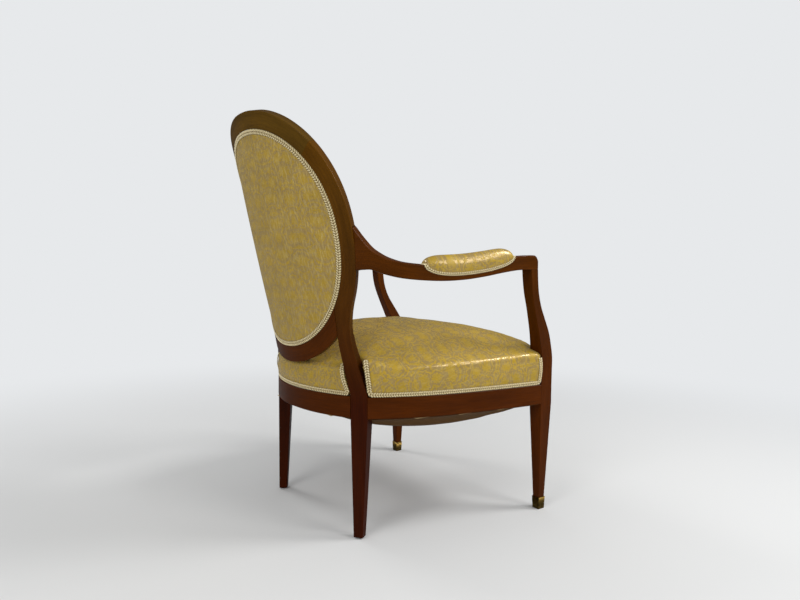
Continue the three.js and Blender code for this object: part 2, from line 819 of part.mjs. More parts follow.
// Arm pads: a padded cover laid over the arm, in an oval round its top and sides

const padAngles = Array.from({ length: armPadSides }, (_, i) => (2 * Math.PI * i) / armPadSides);
const squarish = (value) => Math.sign(value) * Math.abs(value) ** armPadPower;

// A place on the arm's surface: round runs from the middle of its top down its sides.
function armSurface(share, round, lift) {
  const { point, out, high, width } = armAt(share);
  const past = Math.max(Math.abs(round) - width / 2, 0);
  const side = Math.sign(round) * (Math.min(Math.abs(round), width / 2) + (past > 0 ? lift : 0));
  return at(offset(point, out, side), high - past + (past > 0 ? 0 : lift));
}

// The pad's own surface: an oval section standing on the arm.
function armPadSurface(share, turn) {
  const { point, out, high } = armAt(share);
  const foot = armPadSide - armWidth / 2;
  const rise = (armPadCrown + foot) / (1 - Math.cos(armPadFall));
  const side = armPadHalfWidth * Math.sin(turn);
  return at(offset(point, out, side), high + armPadCrown + rise * (Math.cos(turn) - 1));
}

function armPadRing(reach, surface) {
  const length = armPadLength / armLine.getLength() / 2;
  return padAngles.map((angle) => {
    const share = armPadMiddleShare + length * reach * squarish(Math.cos(angle));
    return surface(share, reach * squarish(Math.sin(angle)));
  });
}

function armPad() {
  const outer = padReachShares.map((reach) => {
    const swell = Math.sqrt(1 - reach ** padSwellPower);
    return armPadRing(reach, (share, round) => {
      const base = armSurface(share, round * armPadSide, coverThickness);
      return base.lerp(armPadSurface(share, round * armPadFall), swell);
    });
  });
  const inner = padReachShares.map((reach) =>
    armPadRing(reach, (share, round) => armSurface(share, round * armPadSide, -armRound)),
  );
  const top = armPadSurface(armPadMiddleShare, 0);
  const bottom = armSurface(armPadMiddleShare, 0, -armRound);
  return cut(skin([[top], ...outer, ...inner.toReversed(), [bottom]]), armBlank(fit));
}

function armGimp() {
  const ring = (extra, lift) => {
    const length = (armPadLength / 2 + extra) / armLine.getLength();
    return padAngles.map((angle) => {
      const share = armPadMiddleShare + length * squarish(Math.cos(angle));
      return armSurface(share, (armPadSide + extra) * squarish(Math.sin(angle)), lift);
    });
  };
  const raised = coverThickness + fit;
  const [near, far] = [3 * fit, armGimpWidth];
  const rings = [ring(near, -armRound), ring(far, -armRound), ring(far, raised), ring(near, raised)];
  return cut(skin(padAngles.map((_, i) => rings.map((edge) => edge[i])), true), armBlank(fit), armPad());
}

// Upholstery of the back

const backAngles = Array.from({ length: ovalSides }, (_, i) => (2 * Math.PI * i) / ovalSides);

// A body in the oval, through rows of a share of the way to its rim and a depth.
function ovalBody(inset, rows) {
  const centre = { u: 0, v: 0 };
  const rings = rows.map(([share, depth]) => {
    if (share === 0) return [backPoint(centre, depth)];
    return backAngles.map((angle) => backPoint(between(centre, ovalEdge(angle, inset), share), depth));
  });
  return skin(rings);
}

// Covers are flat under the gimp and swell inside it.
const rimInset = frameFace + coverSetback;
const flatShare = 1 - backGimpWidth / (backHalfWidth - rimInset);
const swellRows = (table, depth, swell) => [
  ...table.map(([share, rise]) => [share * flatShare, depth + swell * rise]),
  [1, depth],
];

function ovalSheet(rimDepth, swell, thickness) {
  const rear = swellRows(swellShares, rimDepth, -swell);
  const front = rear.toReversed().map(([share, depth]) => [share, depth + thickness]);
  return ovalBody(rimInset, [...rear, ...front]);
}

// Gimp round the oval, between two depths.
function ovalGimp(rear, front) {
  const sections = backAngles.map((angle) => {
    const rim = ovalEdge(angle, rimInset);
    const inner = between({ u: 0, v: 0 }, rim, flatShare);
    return [backPoint(rim, rear), backPoint(inner, rear), backPoint(inner, front), backPoint(rim, front)];
  });
  return skin(sections, true);
}

const rearCover = tackingDepth - 2 * fit - coverThickness; // outer face of the outside back
const hessianFloor = frameThickness - tackingDepth + fit;
const padFloor = hessianFloor + hessianThickness + fit;
const padRim = padFloor + coverThickness;

const backHessian = () => {
  const rear = flatShares.map((share) => [share, hessianFloor]);
  const front = flatShares.toReversed().map((share) => [share, hessianFloor + hessianThickness]);
  return ovalBody(rimInset, [...rear, ...front]);
};

function backPad(grow) {
  const floor = flatShares.toReversed().map((share) => [share, padFloor]);
  return ovalBody(rimInset - grow, [...swellRows(backPadShares, padRim + grow, backPadCrown), ...floor]);
}

// Everything that the finished back takes up, for the seat's padding to stay clear of.
function backCutter() {
  const face = padRim + gimpThickness + 2 * fit;
  const crown = swellRows(backPadShares, face, backPadCrown);
  return ovalBody(-fit, [...crown, [1, -overrun], [0, -overrun]]);
}

// Upholstery of the seat

function seatOutline() {
  const corner = new THREE.Vector2(frontPostX + frontPostSize / 2, frontPostY - frontPostSize / 2);
  const left = [{ point: corner, out: corner.clone().normalize() }, ...stopsAlong(sideCurve, sideSteps)];
  const right = left.map(({ point, out }) => ({ point: mirrorPlan(point), out: mirrorPlan(out) }));
  const rear = stopsAlong(rearCurve, rearSteps);
  return [...stopsAlong(frontCurve, frontSteps), ...left, ...rear, ...right.toReversed()];
}

const outline = seatOutline();

// A ring inside the outline at a height above the rails, drawn in further by a share towards the middle.
function seatRing(inset, height, share = 1) {
  return outline.map(({ point, out }) => {
    const towards = point.clone().normalize();
    const rim = offset(point, towards, -inset / towards.dot(out));
    return at(rim.multiplyScalar(share), railTop + height);
  });
}

// How far forwards a place lies, from 0 at the rear posts to 1 at the front ones.
function aheadShare(place) {
  return clamp((rearFace.y - place.y) / (rearFace.y - frontPostY), 0, 1);
}

// A ring of the pad. It climbs towards the front by a share of the pad's lift there.
function padRing(inset, height, liftShare, share = 1) {
  return seatRing(inset, height, share).map((place) => {
    return place.setZ(place.z + padFrontLift * aheadShare(place) * liftShare);
  });
}

const padSide = padSideShares.map(([swell, rise]) => [padSetback - padBulge * swell, padEdge * rise]);
const hessianRim = padSetback + padLip + fit;
const hessianRows = hessianShares.map(([run, rise]) => {
  return [railThickness + hessianRun * run, hessianRise * rise];
});

function padBlank(grow) {
  const side = padSide.map(([inset, rise]) => padRing(inset - grow, fit + rise, rise / padEdge));
  const [rimInset, rimRise] = padSide.at(-1);
  const crown = crownShares.map((share) => {
    const fall = share ** crownPower;
    const rise = lerp(padCrown, rimRise, fall) + fit;
    return share > 0 ? padRing(rimInset, rise, fall, share) : [at(middle, railTop + rise)];
  });
  const rest = hessianThickness + 2 * fit;
  const lip = [fit, rest].map((height) => seatRing(hessianRim - fit, height));
  const under = hessianRows.map(([inset, rise]) => seatRing(inset, rest + rise));
  const roof = [at(middle, railTop + rest + hessianRise)];
  return skin([...crown, ...side.toReversed(), ...lip, ...under, roof]);
}

function hessian() {
  const rows = [[hessianRim, 0], ...hessianRows];
  const top = rows.map(([inset, rise]) => seatRing(inset, fit + hessianThickness + rise));
  const under = rows.map(([inset, rise]) => seatRing(inset, fit + rise));
  const tip = (rise) => [at(middle, railTop + rise + hessianRise)];
  return skin([tip(fit), ...under.toReversed(), ...top, tip(fit + hessianThickness)]);
}

// How much of its sag the bottom cloth has at a place.
function slackAt(place) {
  const off = (aheadShare(place) - clothLowestShare) / (1 - clothLowestShare);
  return 1 - clothTautShare * off ** 2;
}

function bottomCloth() {
  const rest = -railHeight - webThickness - 3 * fit;
  const face = (level) =>
    clothShares.map(([inset, share, sag]) => {
      return seatRing(railThickness * inset, level, share).map((place) => {
        return place.setZ(place.z - clothSag * sag * slackAt(place));
      });
    });
  const tip = (level) => [at(middle, railTop + level - clothSag)];
  const under = rest - clothThickness;
  return skin([tip(rest), ...face(rest).toReversed(), ...face(under), tip(under)]);
}

// How far behind the outline the pad's side lies at a height, where the pad isn't lifted.
function padInsetAt(height) {
  const next = clamp(padSide.findIndex(([, rise]) => rise >= height), 1, padSide.length - 1);
  const [from, to] = [padSide[next - 1], padSide[next]];
  return lerp(from[0], to[0], (height - from[1]) / (to[1] - from[1]));
}

// How far along a curve the stile's lean takes a strip beside it, as a slope.
function leanAlong(curve, share) {
  return stileLeanShare * Math.abs(rearAcross.dot(curve.getTangentAt(share)));
}

// Gimp along the foot of the pad's side, turned up beside the post at each end. Each end leans
// with its post: a slope above 0 leans it towards the curve's middle.
function seatGimp(curve, steps, slopes, cutters) {
  const length = curve.getLength();
  const half = seatGimpWidth / 2;
  const bend = seatGimpWidth * gimpBendShare;
  const low = half + fit;
  const end = half + fit;
  const turns = gimpTurns.map((turn) => {
    return [end + bend - bend * Math.cos(turn), low + bend - bend * Math.sin(turn), turn];
  });
  const runs = Array.from({ length: steps - 1 }, (_, i) => [length * ((i + 1) / steps), low, Math.PI / 2]);
  const top = padEdge * gimpRiseShare;
  const bends = padSide.map(([, rise]) => rise).filter((rise) => rise > low + bend && rise < top);
  const upright = [...[top, ...bends.toReversed()].map((rise) => [end, rise, 0]), ...turns];
  const start = upright.map(([run, rise, turn]) => [run + slopes[0] * rise, rise, turn]);
  const finish = upright.toReversed().map(([run, rise, turn]) => {
    return [length - run - slopes[1] * rise, rise, Math.PI - turn];
  });
  const place = (run, rise, lift) => {
    const { point, out } = stopAt(curve, run / length);
    const lowered = rise * (padEdge / (padEdge + padFrontLift * aheadShare(point)));
    return at(offset(point, out, lift - padInsetAt(lowered)), railTop + fit + rise);
  };
  const sections = [...start, ...runs, ...finish].map(([run, rise, turn]) => {
    const [dx, dy] = [half * Math.cos(turn), half * Math.sin(turn)];
    const edges = [
      [run - dx, rise - dy],
      [run + dx, rise + dy],
    ];
    const inner = edges.map(([x, y]) => place(x, y, -padBulge));
    const outer = edges.map(([x, y]) => place(x, y, gimpThickness + fit));
    return [inner[0], inner[1], outer[1], outer[0]];
  });
  return cut(skin(sections), padBlank(fit), ...cutters);
}

// Suspension

// The share of a curve's length where it reaches a place along X or Y.
function shareWhere(curve, axis, value) {
  let [low, high] = [0, 1];
  const rising = curve.getPointAt(1)[axis] > curve.getPointAt(0)[axis];
  for (let i = 0; i < bisections; i++) {
    const half = (low + high) / 2;
    const below = curve.getPointAt(half)[axis] < value;
    if (below === rising) low = half;
    else high = half;
  }
  return (low + high) / 2;
}

// A strip of webbing between two ends on an axis, woven over and under those that cross it.
function web(ends, crossings, first, place) {
  const level = legHeight - fit - webThickness / 2;
  const drop = webThickness + fit;
  const stops = [
    [ends[0] + webInset, 0],
    [ends[0] + railThickness, 0],
    ...crossings.flatMap((crossing, i) => {
      const under = (i + first) % 2;
      return [-1, 1].map((sign) => [crossing + (sign * webWidth) / 2, webSag + drop * under]);
    }),
    [ends[1] - railThickness, 0],
    [ends[1] - webInset, 0],
  ];
  return skin(
    stops.map(([run, sink]) => {
      const [low, high] = [level - sink - webThickness / 2, level - sink + webThickness / 2];
      const [a, b] = [-webWidth / 2, webWidth / 2];
      return [place(run, a, low), place(run, b, low), place(run, b, high), place(run, a, high)];
    }),
  );
}

function spring(x, y) {
  const radius = springWire / 2;
  const low = legHeight - webSag + radius;
  const high = railTop + hessianRise - radius;
  const steps = springTurns * springStepsPerTurn;
  const rings = Array.from({ length: steps + 1 }, (_, i) => {
    const share = i / steps;
    const turn = 2 * Math.PI * springTurns * share;
    const waist = 1 - Math.abs(2 * share - 1);
    const reach = lerp(springEndRadius, springWaistRadius, waist);
    const out = new THREE.Vector3(Math.cos(turn), Math.sin(turn), 0);
    const centre = new THREE.Vector3(x, y, lerp(low, high, share)).addScaledVector(out, reach);
    return Array.from({ length: springSides }, (_, j) => {
      const angle = (2 * Math.PI * j) / springSides;
      const lift = new THREE.Vector3(0, 0, radius * Math.sin(angle));
      return centre.clone().addScaledVector(out, radius * Math.cos(angle)).add(lift);
    });
  });
  return skin(rings);
}

// Feet

function sabot() {
  const walls = [0, sabotHeight].map((z) => {
    const leg = frontLegStation(z);
    const size = leg.width + 2 * (sabotWall + fit);
    return squareSection({ ...leg, width: size, depth: size }, postChamfer);
  });
  const hollow = [sabotBase, sabotHeight + overrun].map((z) => {
    const leg = frontLegStation(z);
    const size = leg.width + 2 * fit;
    return squareSection({ ...leg, width: size, depth: size }, postChamfer);
  });
  return cut(skin(walls), skin(hollow));
}

const glideCentre = at(offset(rearFace, rearOut, -rearFootDepth / 2), 0);
const up = new THREE.Vector3(0, 0, 1);
const glide = () =>
  turned(
    glideCentre,
    up,
    [
      [0, glideRadius * glideFootShare],
      [glideHeight / 2, glideRadius],
      [glideHeight, glideRadius],
      [glideHeight, glidePinRadius],
      [glideHeight + glidePinLength, glidePinRadius],
    ],
    glideSides,
  );
const glideBore = () =>
  turned(
    glideCentre,
    up,
    [
      [0, glidePinRadius + fit],
      [glideHeight + glidePinLength + fit, glidePinRadius + fit],
    ],
    glideSides,
  );

// Assembly
const notches = [...both(frontNotch()), ...both(rearNotch())];

const rearPostPiece = cut(
  rearPost(0),
  railTenon(sideCurve, 1, fit),
  railTenon(rearCurve, 0, fit),
  armTenon(fit),
  blockScrew(rearBlockFace, rearOut.clone().negate(), fit),
  glideBore(),
);
const frontPostPiece = cut(
  frontPost(),
  railTenon(sideCurve, 0, fit),
  railTenon(frontCurve, 1, fit),
  blockScrew(frontBlockFace, inwards, fit),
);
const armPiece = join(cut(armBlank(0), rearPost(fit), supportTenon(fit)), armTenon(0));
addPair("rear_post", rearPostPiece, materials.wood);
addPair("front_post", frontPostPiece, materials.wood);
addPair("arm", armPiece, materials.wood);
add("crest_rail", crestRail(), materials.wood);
add("lower_back_rail", lowerBackRail(), materials.wood);
add("front_rail", rail(frontCurve, frontSteps, notches), materials.wood);
add("rear_rail", rail(rearCurve, rearSteps, notches), materials.wood);
addPair("side_rail", rail(sideCurve, sideSteps, notches), materials.wood);

const frontBlock = cornerBlock(frontBlockFace, inwards, [
  railCutter(frontCurve, frontSteps),
  railCutter(sideCurve, sideSteps),
  blockScrew(frontBlockFace, inwards, fit),
]);
const rearBlock = cornerBlock(rearBlockFace, rearOut.clone().negate(), [
  railCutter(sideCurve, sideSteps),
  railCutter(rearCurve, rearSteps),
  blockScrew(rearBlockFace, rearOut.clone().negate(), fit),
]);
addPair("front_corner_block", frontBlock, materials.beech);
addPair("rear_corner_block", rearBlock, materials.beech);
addPair("front_block_screw", blockScrew(frontBlockFace, inwards, 0), materials.steel);
addPair("rear_block_screw", blockScrew(rearBlockFace, rearOut.clone().negate(), 0), materials.steel);
addPair("front_sabot", sabot(), materials.brass);
addPair("rear_glide", glide(), materials.steel);

// Webbing, springs and hessian
const columns = [-1, 0, 1].map((i) => i * webPitch);
const rows = [-1, 0, 1].map((i) => webMiddle + i * webPitch);
columns.forEach((x, i) => {
  const ends = [frontCurve, rearCurve].map((curve) => curve.getPointAt(shareWhere(curve, "x", x)).y);
  const strip = web(ends, rows, i, (run, side, z) => new THREE.Vector3(x + side, run, z));
  add(`webbing_lengthwise_${i + 1}`, strip, materials.jute);
});
rows.forEach((y, i) => {
  const reach = sideCurve.getPointAt(shareWhere(sideCurve, "y", y)).x;
  const strip = web([-reach, reach], columns, i + 1, (run, side, z) => new THREE.Vector3(run, y + side, z));
  add(`webbing_crosswise_${i + 1}`, strip, materials.jute);
});
const springPlaces = [
  [0, 0],
  [-1, -1],
  [1, -1],
  [-1, 1],
  [1, 1],
];
springPlaces.forEach(([i, j], k) => {
  add(`spring_${k + 1}`, spring(i * webPitch, webMiddle + j * webPitch), materials.steel);
});
add("seat_hessian", cut(hessian(), ...notches), materials.jute);

// Covers
add("seat_pad", cut(padBlank(0), ...notches, backCutter()), materials.damask);
add("bottom_cloth", cut(bottomCloth(), ...notches), materials.cloth);
const rearSlope = leanAlong(rearCurve, 0);
const sideSlopes = [0, -leanAlong(sideCurve, 1)];
add("seat_gimp_front", seatGimp(frontCurve, frontSteps, [0, 0], notches), materials.gimp);
add("seat_gimp_rear", seatGimp(rearCurve, rearSteps, [rearSlope, rearSlope], notches), materials.gimp);
addPair("seat_gimp", seatGimp(sideCurve, sideSteps, sideSlopes, notches), materials.gimp);

add("outside_back", ovalSheet(rearCover, backDome, coverThickness), materials.damask);
add("back_gimp_rear", ovalGimp(rearCover - fit - gimpThickness, rearCover - fit), materials.gimp);
add("back_hessian", backHessian(), materials.jute);
add("back_pad", backPad(0), materials.damask);
add("back_gimp_front", cut(ovalGimp(padRim, padRim + fit + gimpThickness), backPad(fit)), materials.gimp);
addPair("arm_pad", armPad(), materials.damask);
addPair("arm_gimp", armGimp(), materials.gimp);

// The origin is on the floor, in the middle of the chair's bounding box
const bounds = new THREE.Box3().setFromObject(chair);
const origin = bounds.getCenter(new THREE.Vector3()).setZ(bounds.min.z);
chair.position.sub(origin);

export default chair;
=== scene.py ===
import math

import bmesh
import bpy
import numpy as np
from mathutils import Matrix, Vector


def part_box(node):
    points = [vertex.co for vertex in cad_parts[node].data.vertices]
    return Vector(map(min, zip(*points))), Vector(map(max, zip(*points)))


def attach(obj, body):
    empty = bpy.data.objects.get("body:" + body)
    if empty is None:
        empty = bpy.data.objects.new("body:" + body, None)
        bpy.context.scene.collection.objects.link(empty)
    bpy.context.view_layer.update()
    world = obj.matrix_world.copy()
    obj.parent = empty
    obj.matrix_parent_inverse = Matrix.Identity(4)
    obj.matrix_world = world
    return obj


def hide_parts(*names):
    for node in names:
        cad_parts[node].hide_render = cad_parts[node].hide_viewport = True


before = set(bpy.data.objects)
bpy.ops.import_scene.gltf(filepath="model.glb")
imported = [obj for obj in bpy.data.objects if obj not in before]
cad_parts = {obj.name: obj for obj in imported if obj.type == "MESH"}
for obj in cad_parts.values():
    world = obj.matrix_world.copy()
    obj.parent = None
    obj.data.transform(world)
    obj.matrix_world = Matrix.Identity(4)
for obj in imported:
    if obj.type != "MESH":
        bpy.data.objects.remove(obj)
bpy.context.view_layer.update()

# Camera
# The chair is seen from behind and from the sitter's right, at about the height of its arms,
# through a fairly wide lens that leans a little down and a little to one side.
front_foot = (Vector(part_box("front_sabot_left")[0]) + Vector(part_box("front_sabot_left")[1])) / 2
seat_depth = 0.4444  # from the middle of the front posts to the outer faces of the rear posts
middle_y = front_foot.y + seat_depth / 2
camera_from_middle = Vector((-1.2507, 0.9007, 0.5588))
look_turn, look_drop, look_roll = math.radians(-126.27), math.radians(2.68), math.radians(-0.55)
lens_mm, sensor_mm = 27.70, 36.0

camera_data = bpy.data.cameras.new("camera")
camera_data.lens, camera_data.sensor_width = lens_mm, sensor_mm
camera = bpy.data.objects.new("camera", camera_data)
bpy.context.collection.objects.link(camera)
camera.location = camera_from_middle + Vector((0, middle_y, 0))
camera.rotation_euler = (math.pi / 2 - look_drop, look_roll, look_turn)
bpy.context.scene.camera = camera

# Floor and light
# A plain pale studio floor under an even pale sky, with four soft lamps round the chair like the
# windows of a room, so that every turned edge of wood and satin has something to show.


def linear(hex_colour):
    """The linear colour, with alpha, of an sRGB hex value such as '#c0ffee'."""
    srgb = np.array([int(hex_colour[i : i + 2], 16) for i in (1, 3, 5)]) / 255
    curved = ((srgb + 0.055) / 1.055) ** 2.4
    return (*np.where(srgb > 0.04045, curved, srgb / 12.92), 1.0)


def adder(tree):
    """What adds nodes to a tree. A kind may name its operation too, as 'Math SINE' does."""

    def add(kind, *inputs, **settings):
        """Add a node with its settings, and set or link its inputs: in their order, or in a dict by
        name. Returns its outputs. Given whole as an input, they stand for the only one in use."""
        kind, *operation = kind.split()
        made = tree.nodes.new(f"ShaderNode{kind}")
        if operation:
            made.operation = operation[0]
        for name, value in settings.items():
            setattr(made, name, value)
        in_order = not inputs or not isinstance(inputs[0], dict)
        for name, value in (dict(enumerate(inputs)) if in_order else inputs[0]).items():
            if isinstance(value, bpy.types.bpy_prop_collection):
                value = next(each for each in value if each.enabled)
            if isinstance(value, bpy.types.NodeSocket):
                tree.links.new(value, made.inputs[name])
            else:
                made.inputs[name].default_value = value
        return made.outputs

    return add


def new_material(name):
    """A material without nodes, and what adds nodes to it."""
    material = bpy.data.materials.new(name)
    material.use_nodes = True
    material.node_tree.nodes.clear()
    return material, adder(material.node_tree)


def dress(piece, material):
    """Give a piece one material."""
    piece.data.materials.clear()
    piece.data.materials.append(material)


def full_turn(steps):
    """Angles spread evenly round a full turn."""
    return np.linspace(0, 2 * np.pi, steps, endpoint=False)


floor_radius = 14.0
floor_steps = 96


def studio_floor():
    """A flat disc: points at one radius round the origin, filled."""
    turns = full_turn(floor_steps)
    rim = np.stack([floor_radius * np.cos(turns), floor_radius * np.sin(turns), 0 * turns], axis=1)
    mesh = bpy.data.meshes.new("studio_floor")
    mesh.from_pydata(rim.tolist(), [], [list(range(floor_steps))])
    made = bpy.data.objects.new("studio_floor", mesh)
    bpy.context.collection.objects.link(made)
    return made


floor = studio_floor()
paint, add = new_material("pale_matt_floor_paint")
mottle = add("TexNoise", {"Scale": 2.0, "Detail": 4.0})
tint = add("Mix", {"Factor": mottle["Fac"], "A": linear("#d3d3d2"), "B": linear("#dcdcdb")}, data_type="RGBA")
# In the wood's and the brass's polish the floor is darker, as the floor of a room would be.
rays = add("LightPath")
mirrored_share = add("Math MULTIPLY_ADD", rays["Is Glossy Ray"], -0.6, 1.0)
tint = add("VectorMath SCALE", {0: tint["Result"], "Scale": mirrored_share})
shader = add("BsdfPrincipled", {"Base Color": tint, "Roughness": 0.85})
# Far from the chair the camera sees the floor as bright as the sky, so that no line parts them.
place = add("TexCoord")["Object"]
far = add("VectorMath LENGTH", place)
fade = add("MapRange", far, 0.5, 2.6, interpolation_type="SMOOTHERSTEP")
glow = add("Emission", {"Color": linear("#e7e9eb")})
fade = add("Math MULTIPLY", fade, rays["Is Camera Ray"])
seen = add("MixShader", fade, shader["BSDF"], glow)
add("OutputMaterial", {"Surface": seen})
dress(floor, paint)

world = bpy.data.worlds.new("pale_sky")
bpy.context.scene.world = world
world.use_nodes = True
world.node_tree.nodes.clear()
add = adder(world.node_tree)
ray = add("LightPath")
plain = add("Background", {"Color": linear("#e7e9eb"), "Strength": 1.0})
# Polished surfaces see a dimmer room than the one that lights the chair.
dimmed = add("Math MULTIPLY_ADD", ray["Is Glossy Ray"], -0.5, 0.62)
fill = add("Background", {"Color": linear("#eef0f2"), "Strength": dimmed["Value"]})
seen = add("MixShader", ray["Is Camera Ray"], fill["Background"], plain["Background"])
add("OutputWorld", {"Surface": seen["Shader"]})

lit_height = 0.45
lamps = [
    ("high_window", (-1.2, -1.6, 2.2), 0.8, 30),
    ("window_side", (-2.4, -0.9, 2.0), 1.2, 23),
    ("camera_side", (-1.2, 2.8, 2.3), 1.6, 30),
    ("far_window", (2.2, 0.6, 2.0), 0.8, 14),
]
for name, place, size, watts in lamps:
    lamp = bpy.data.lights.new(name, "AREA")
    lamp.shape, lamp.size, lamp.energy = "DISK", size, watts
    lamp_object = bpy.data.objects.new(name, lamp)
    bpy.context.collection.objects.link(lamp_object)
    lamp_object.location = place
    aim = Vector((0, 0, lit_height)) - Vector(place)
    lamp_object.rotation_euler = aim.to_track_quat("-Z", "Y").to_euler()
bpy.context.scene.view_settings.view_transform = "Standard"

# Front posts
# Each is one length of mahogany: a square leg that tapers to its sabot, the block that the rails
# are tenoned into, and above it the arm's support, which sweeps back and out in a flat S.
fit = 0.0003
leg_height, rail_height = 0.2535, 0.0445
rail_top = leg_height + rail_height
post_size, front_foot_size = 0.036, 0.0164
support_width, support_depth = 0.0294, 0.0213
support_setback, support_splay = 0.066, 0.0195
arm_underside = 0.5645
sabot_base = 0.0015
front_x, front_y = front_foot.x, front_foot.y
# Height, setback, splay, and how much of the narrowing in width and in depth is done.
support_shares = np.array([
    [0, 0, 0, 0, 0],
    [0.12, -0.01, -0.01, 0, 0],
    [0.23, -0.02, -0.03, 0, 0],
    [0.34, 0.08, 0.1, 0.4, 0],
    [0.46, 0.26, 0.36, 0.85, 0.13],
    [0.57, 0.48, 0.58, 1.2, 0.5],
    [0.68, 0.7, 0.78, 1.4, 0.9],
    [0.8, 0.88, 0.92, 1.3, 1],
    [0.9, 0.96, 0.98, 1.15, 1],
    [1, 1, 1, 1, 1],
])


def through(table, places):
    """Smooth values between the rows of a table whose first column is the place: a cubic in each
    gap, with the mean of the neighbouring slopes at each row."""
    x, y = table[:, 0], table[:, 1:]
    slope = np.gradient(y, x, axis=0)
    i = np.clip(np.searchsorted(x, places, side="right") - 1, 0, len(x) - 2)
    gap = (x[i + 1] - x[i])[:, None]
    t = ((places - x[i])[:, None]) / gap
    low, high = y[i], y[i + 1]
    return (
        low * (2 * t**3 - 3 * t**2 + 1)
        + high * (3 * t**2 - 2 * t**3)
        + slope[i] * gap * (t**3 - 2 * t**2 + t)
        + slope[i + 1] * gap * (t**3 - t**2)
    )


def smoothed(mesh):
    """Shade every face of a mesh smooth."""
    mesh.polygons.foreach_set("use_smooth", np.ones(len(mesh.polygons), bool))


def skin(name, rings, grain=None, hoop=False):
    """A surface over a grid of points, stations by points round: quads between neighbours, closed
    round each ring, with flat ends, or the last ring joined to the first in a hoop. The grain is
    each point's place in the wood: along, across and deep."""
    stations, count = rings.shape[:2]
    index = np.arange(stations * count).reshape(stations, count)
    ahead = np.roll(index, -1, axis=1)
    rows = stations if hoop else stations - 1
    following, beyond = np.roll(index, -1, axis=0)[:rows], np.roll(ahead, -1, axis=0)[:rows]
    faces = np.stack([index[:rows], ahead[:rows], beyond, following], axis=-1).reshape(-1, 4).tolist()
    if not hoop:
        faces += [index[0, ::-1].tolist(), index[-1].tolist()]
    mesh = bpy.data.meshes.new(name)
    mesh.from_pydata(rings.reshape(-1, 3).tolist(), [], faces)
    if grain is not None:
        layer = mesh.attributes.new("grain", "FLOAT_VECTOR", "POINT")
        layer.data.foreach_set("vector", grain.reshape(-1).astype(np.float32))
    tidy = bmesh.new()
    tidy.from_mesh(mesh)
    bmesh.ops.recalc_face_normals(tidy, faces=tidy.faces)
    tidy.to_mesh(mesh)
    tidy.free()
    smoothed(mesh)
    made = bpy.data.objects.new(name, mesh)
    bpy.context.collection.objects.link(made)
    made["around"] = count
    return made


edge_steps, sharp_angle = 3, math.radians(32)


def eased(piece, width, ends=False):
    """Take the sharp edges off with a small round. Those round the ends are left sharp where the
    piece meets another, so that the joint stays tight."""
    mesh, around = piece.data, piece["around"]
    stations = len(mesh.vertices) // around
    normals = np.empty(len(mesh.polygons) * 3)
    mesh.polygons.foreach_get("normal", normals)
    walls = normals.reshape(-1, 3)[: (stations - 1) * around].reshape(stations - 1, around, 3)
    sharp = (walls * np.roll(walls, 1, axis=1)).sum(axis=-1) < math.cos(sharp_angle)
    edges = np.empty(len(mesh.edges) * 2, int)
    mesh.edges.foreach_get("vertices", edges)
    edges = np.sort(edges.reshape(-1, 2), axis=1)
    row, column = np.divmod(edges[:, 0], around)
    length_wise = edges[:, 1] - edges[:, 0] == around
    weight = length_wise & sharp[np.minimum(row, stations - 2), column]
    rim = ~length_wise & ((row == 0) | (row == stations - 1))
    if ends:
        weight |= rim
    else:
        mesh.attributes.new("sharp_edge", "BOOLEAN", "EDGE").data.foreach_set("value", rim)
    layer = mesh.attributes.new("bevel_weight_edge", "FLOAT", "EDGE")
    layer.data.foreach_set("value", weight.astype(np.float32))
    bevel = piece.modifiers.new("eased_edges", "BEVEL")
    bevel.width, bevel.segments, bevel.limit_method = width, edge_steps, "WEIGHT"
    bevel.harden_normals = bevel.use_clamp_overlap = True


def mirrored(points):
    """The same points on the other side of the chair."""
    return points * np.array([-1, 1, 1])


right_hand_grain = 0.37  # how much further along the plank the right-hand pieces are cut


def both_sides(name, rings, grain, material, slot="wood", edge=0.0013):
    """One piece for each side of the chair, with eased edges, in the place of its node."""
    for side, points, further in (("left", rings, 0.0), ("right", mirrored(rings), right_hand_grain)):
        piece = skin(f"{name}_{side}_wood", points, grain + further)
        eased(piece, edge)
        settle(piece, material, slot, f"{name}_{side}")


def settle(piece, material, slot, *nodes):
    """Dress a piece and let it stand for its nodes on the chair's one body. Its slot is not used."""
    dress(piece, material)
    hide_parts(*nodes)
    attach(piece, "root")


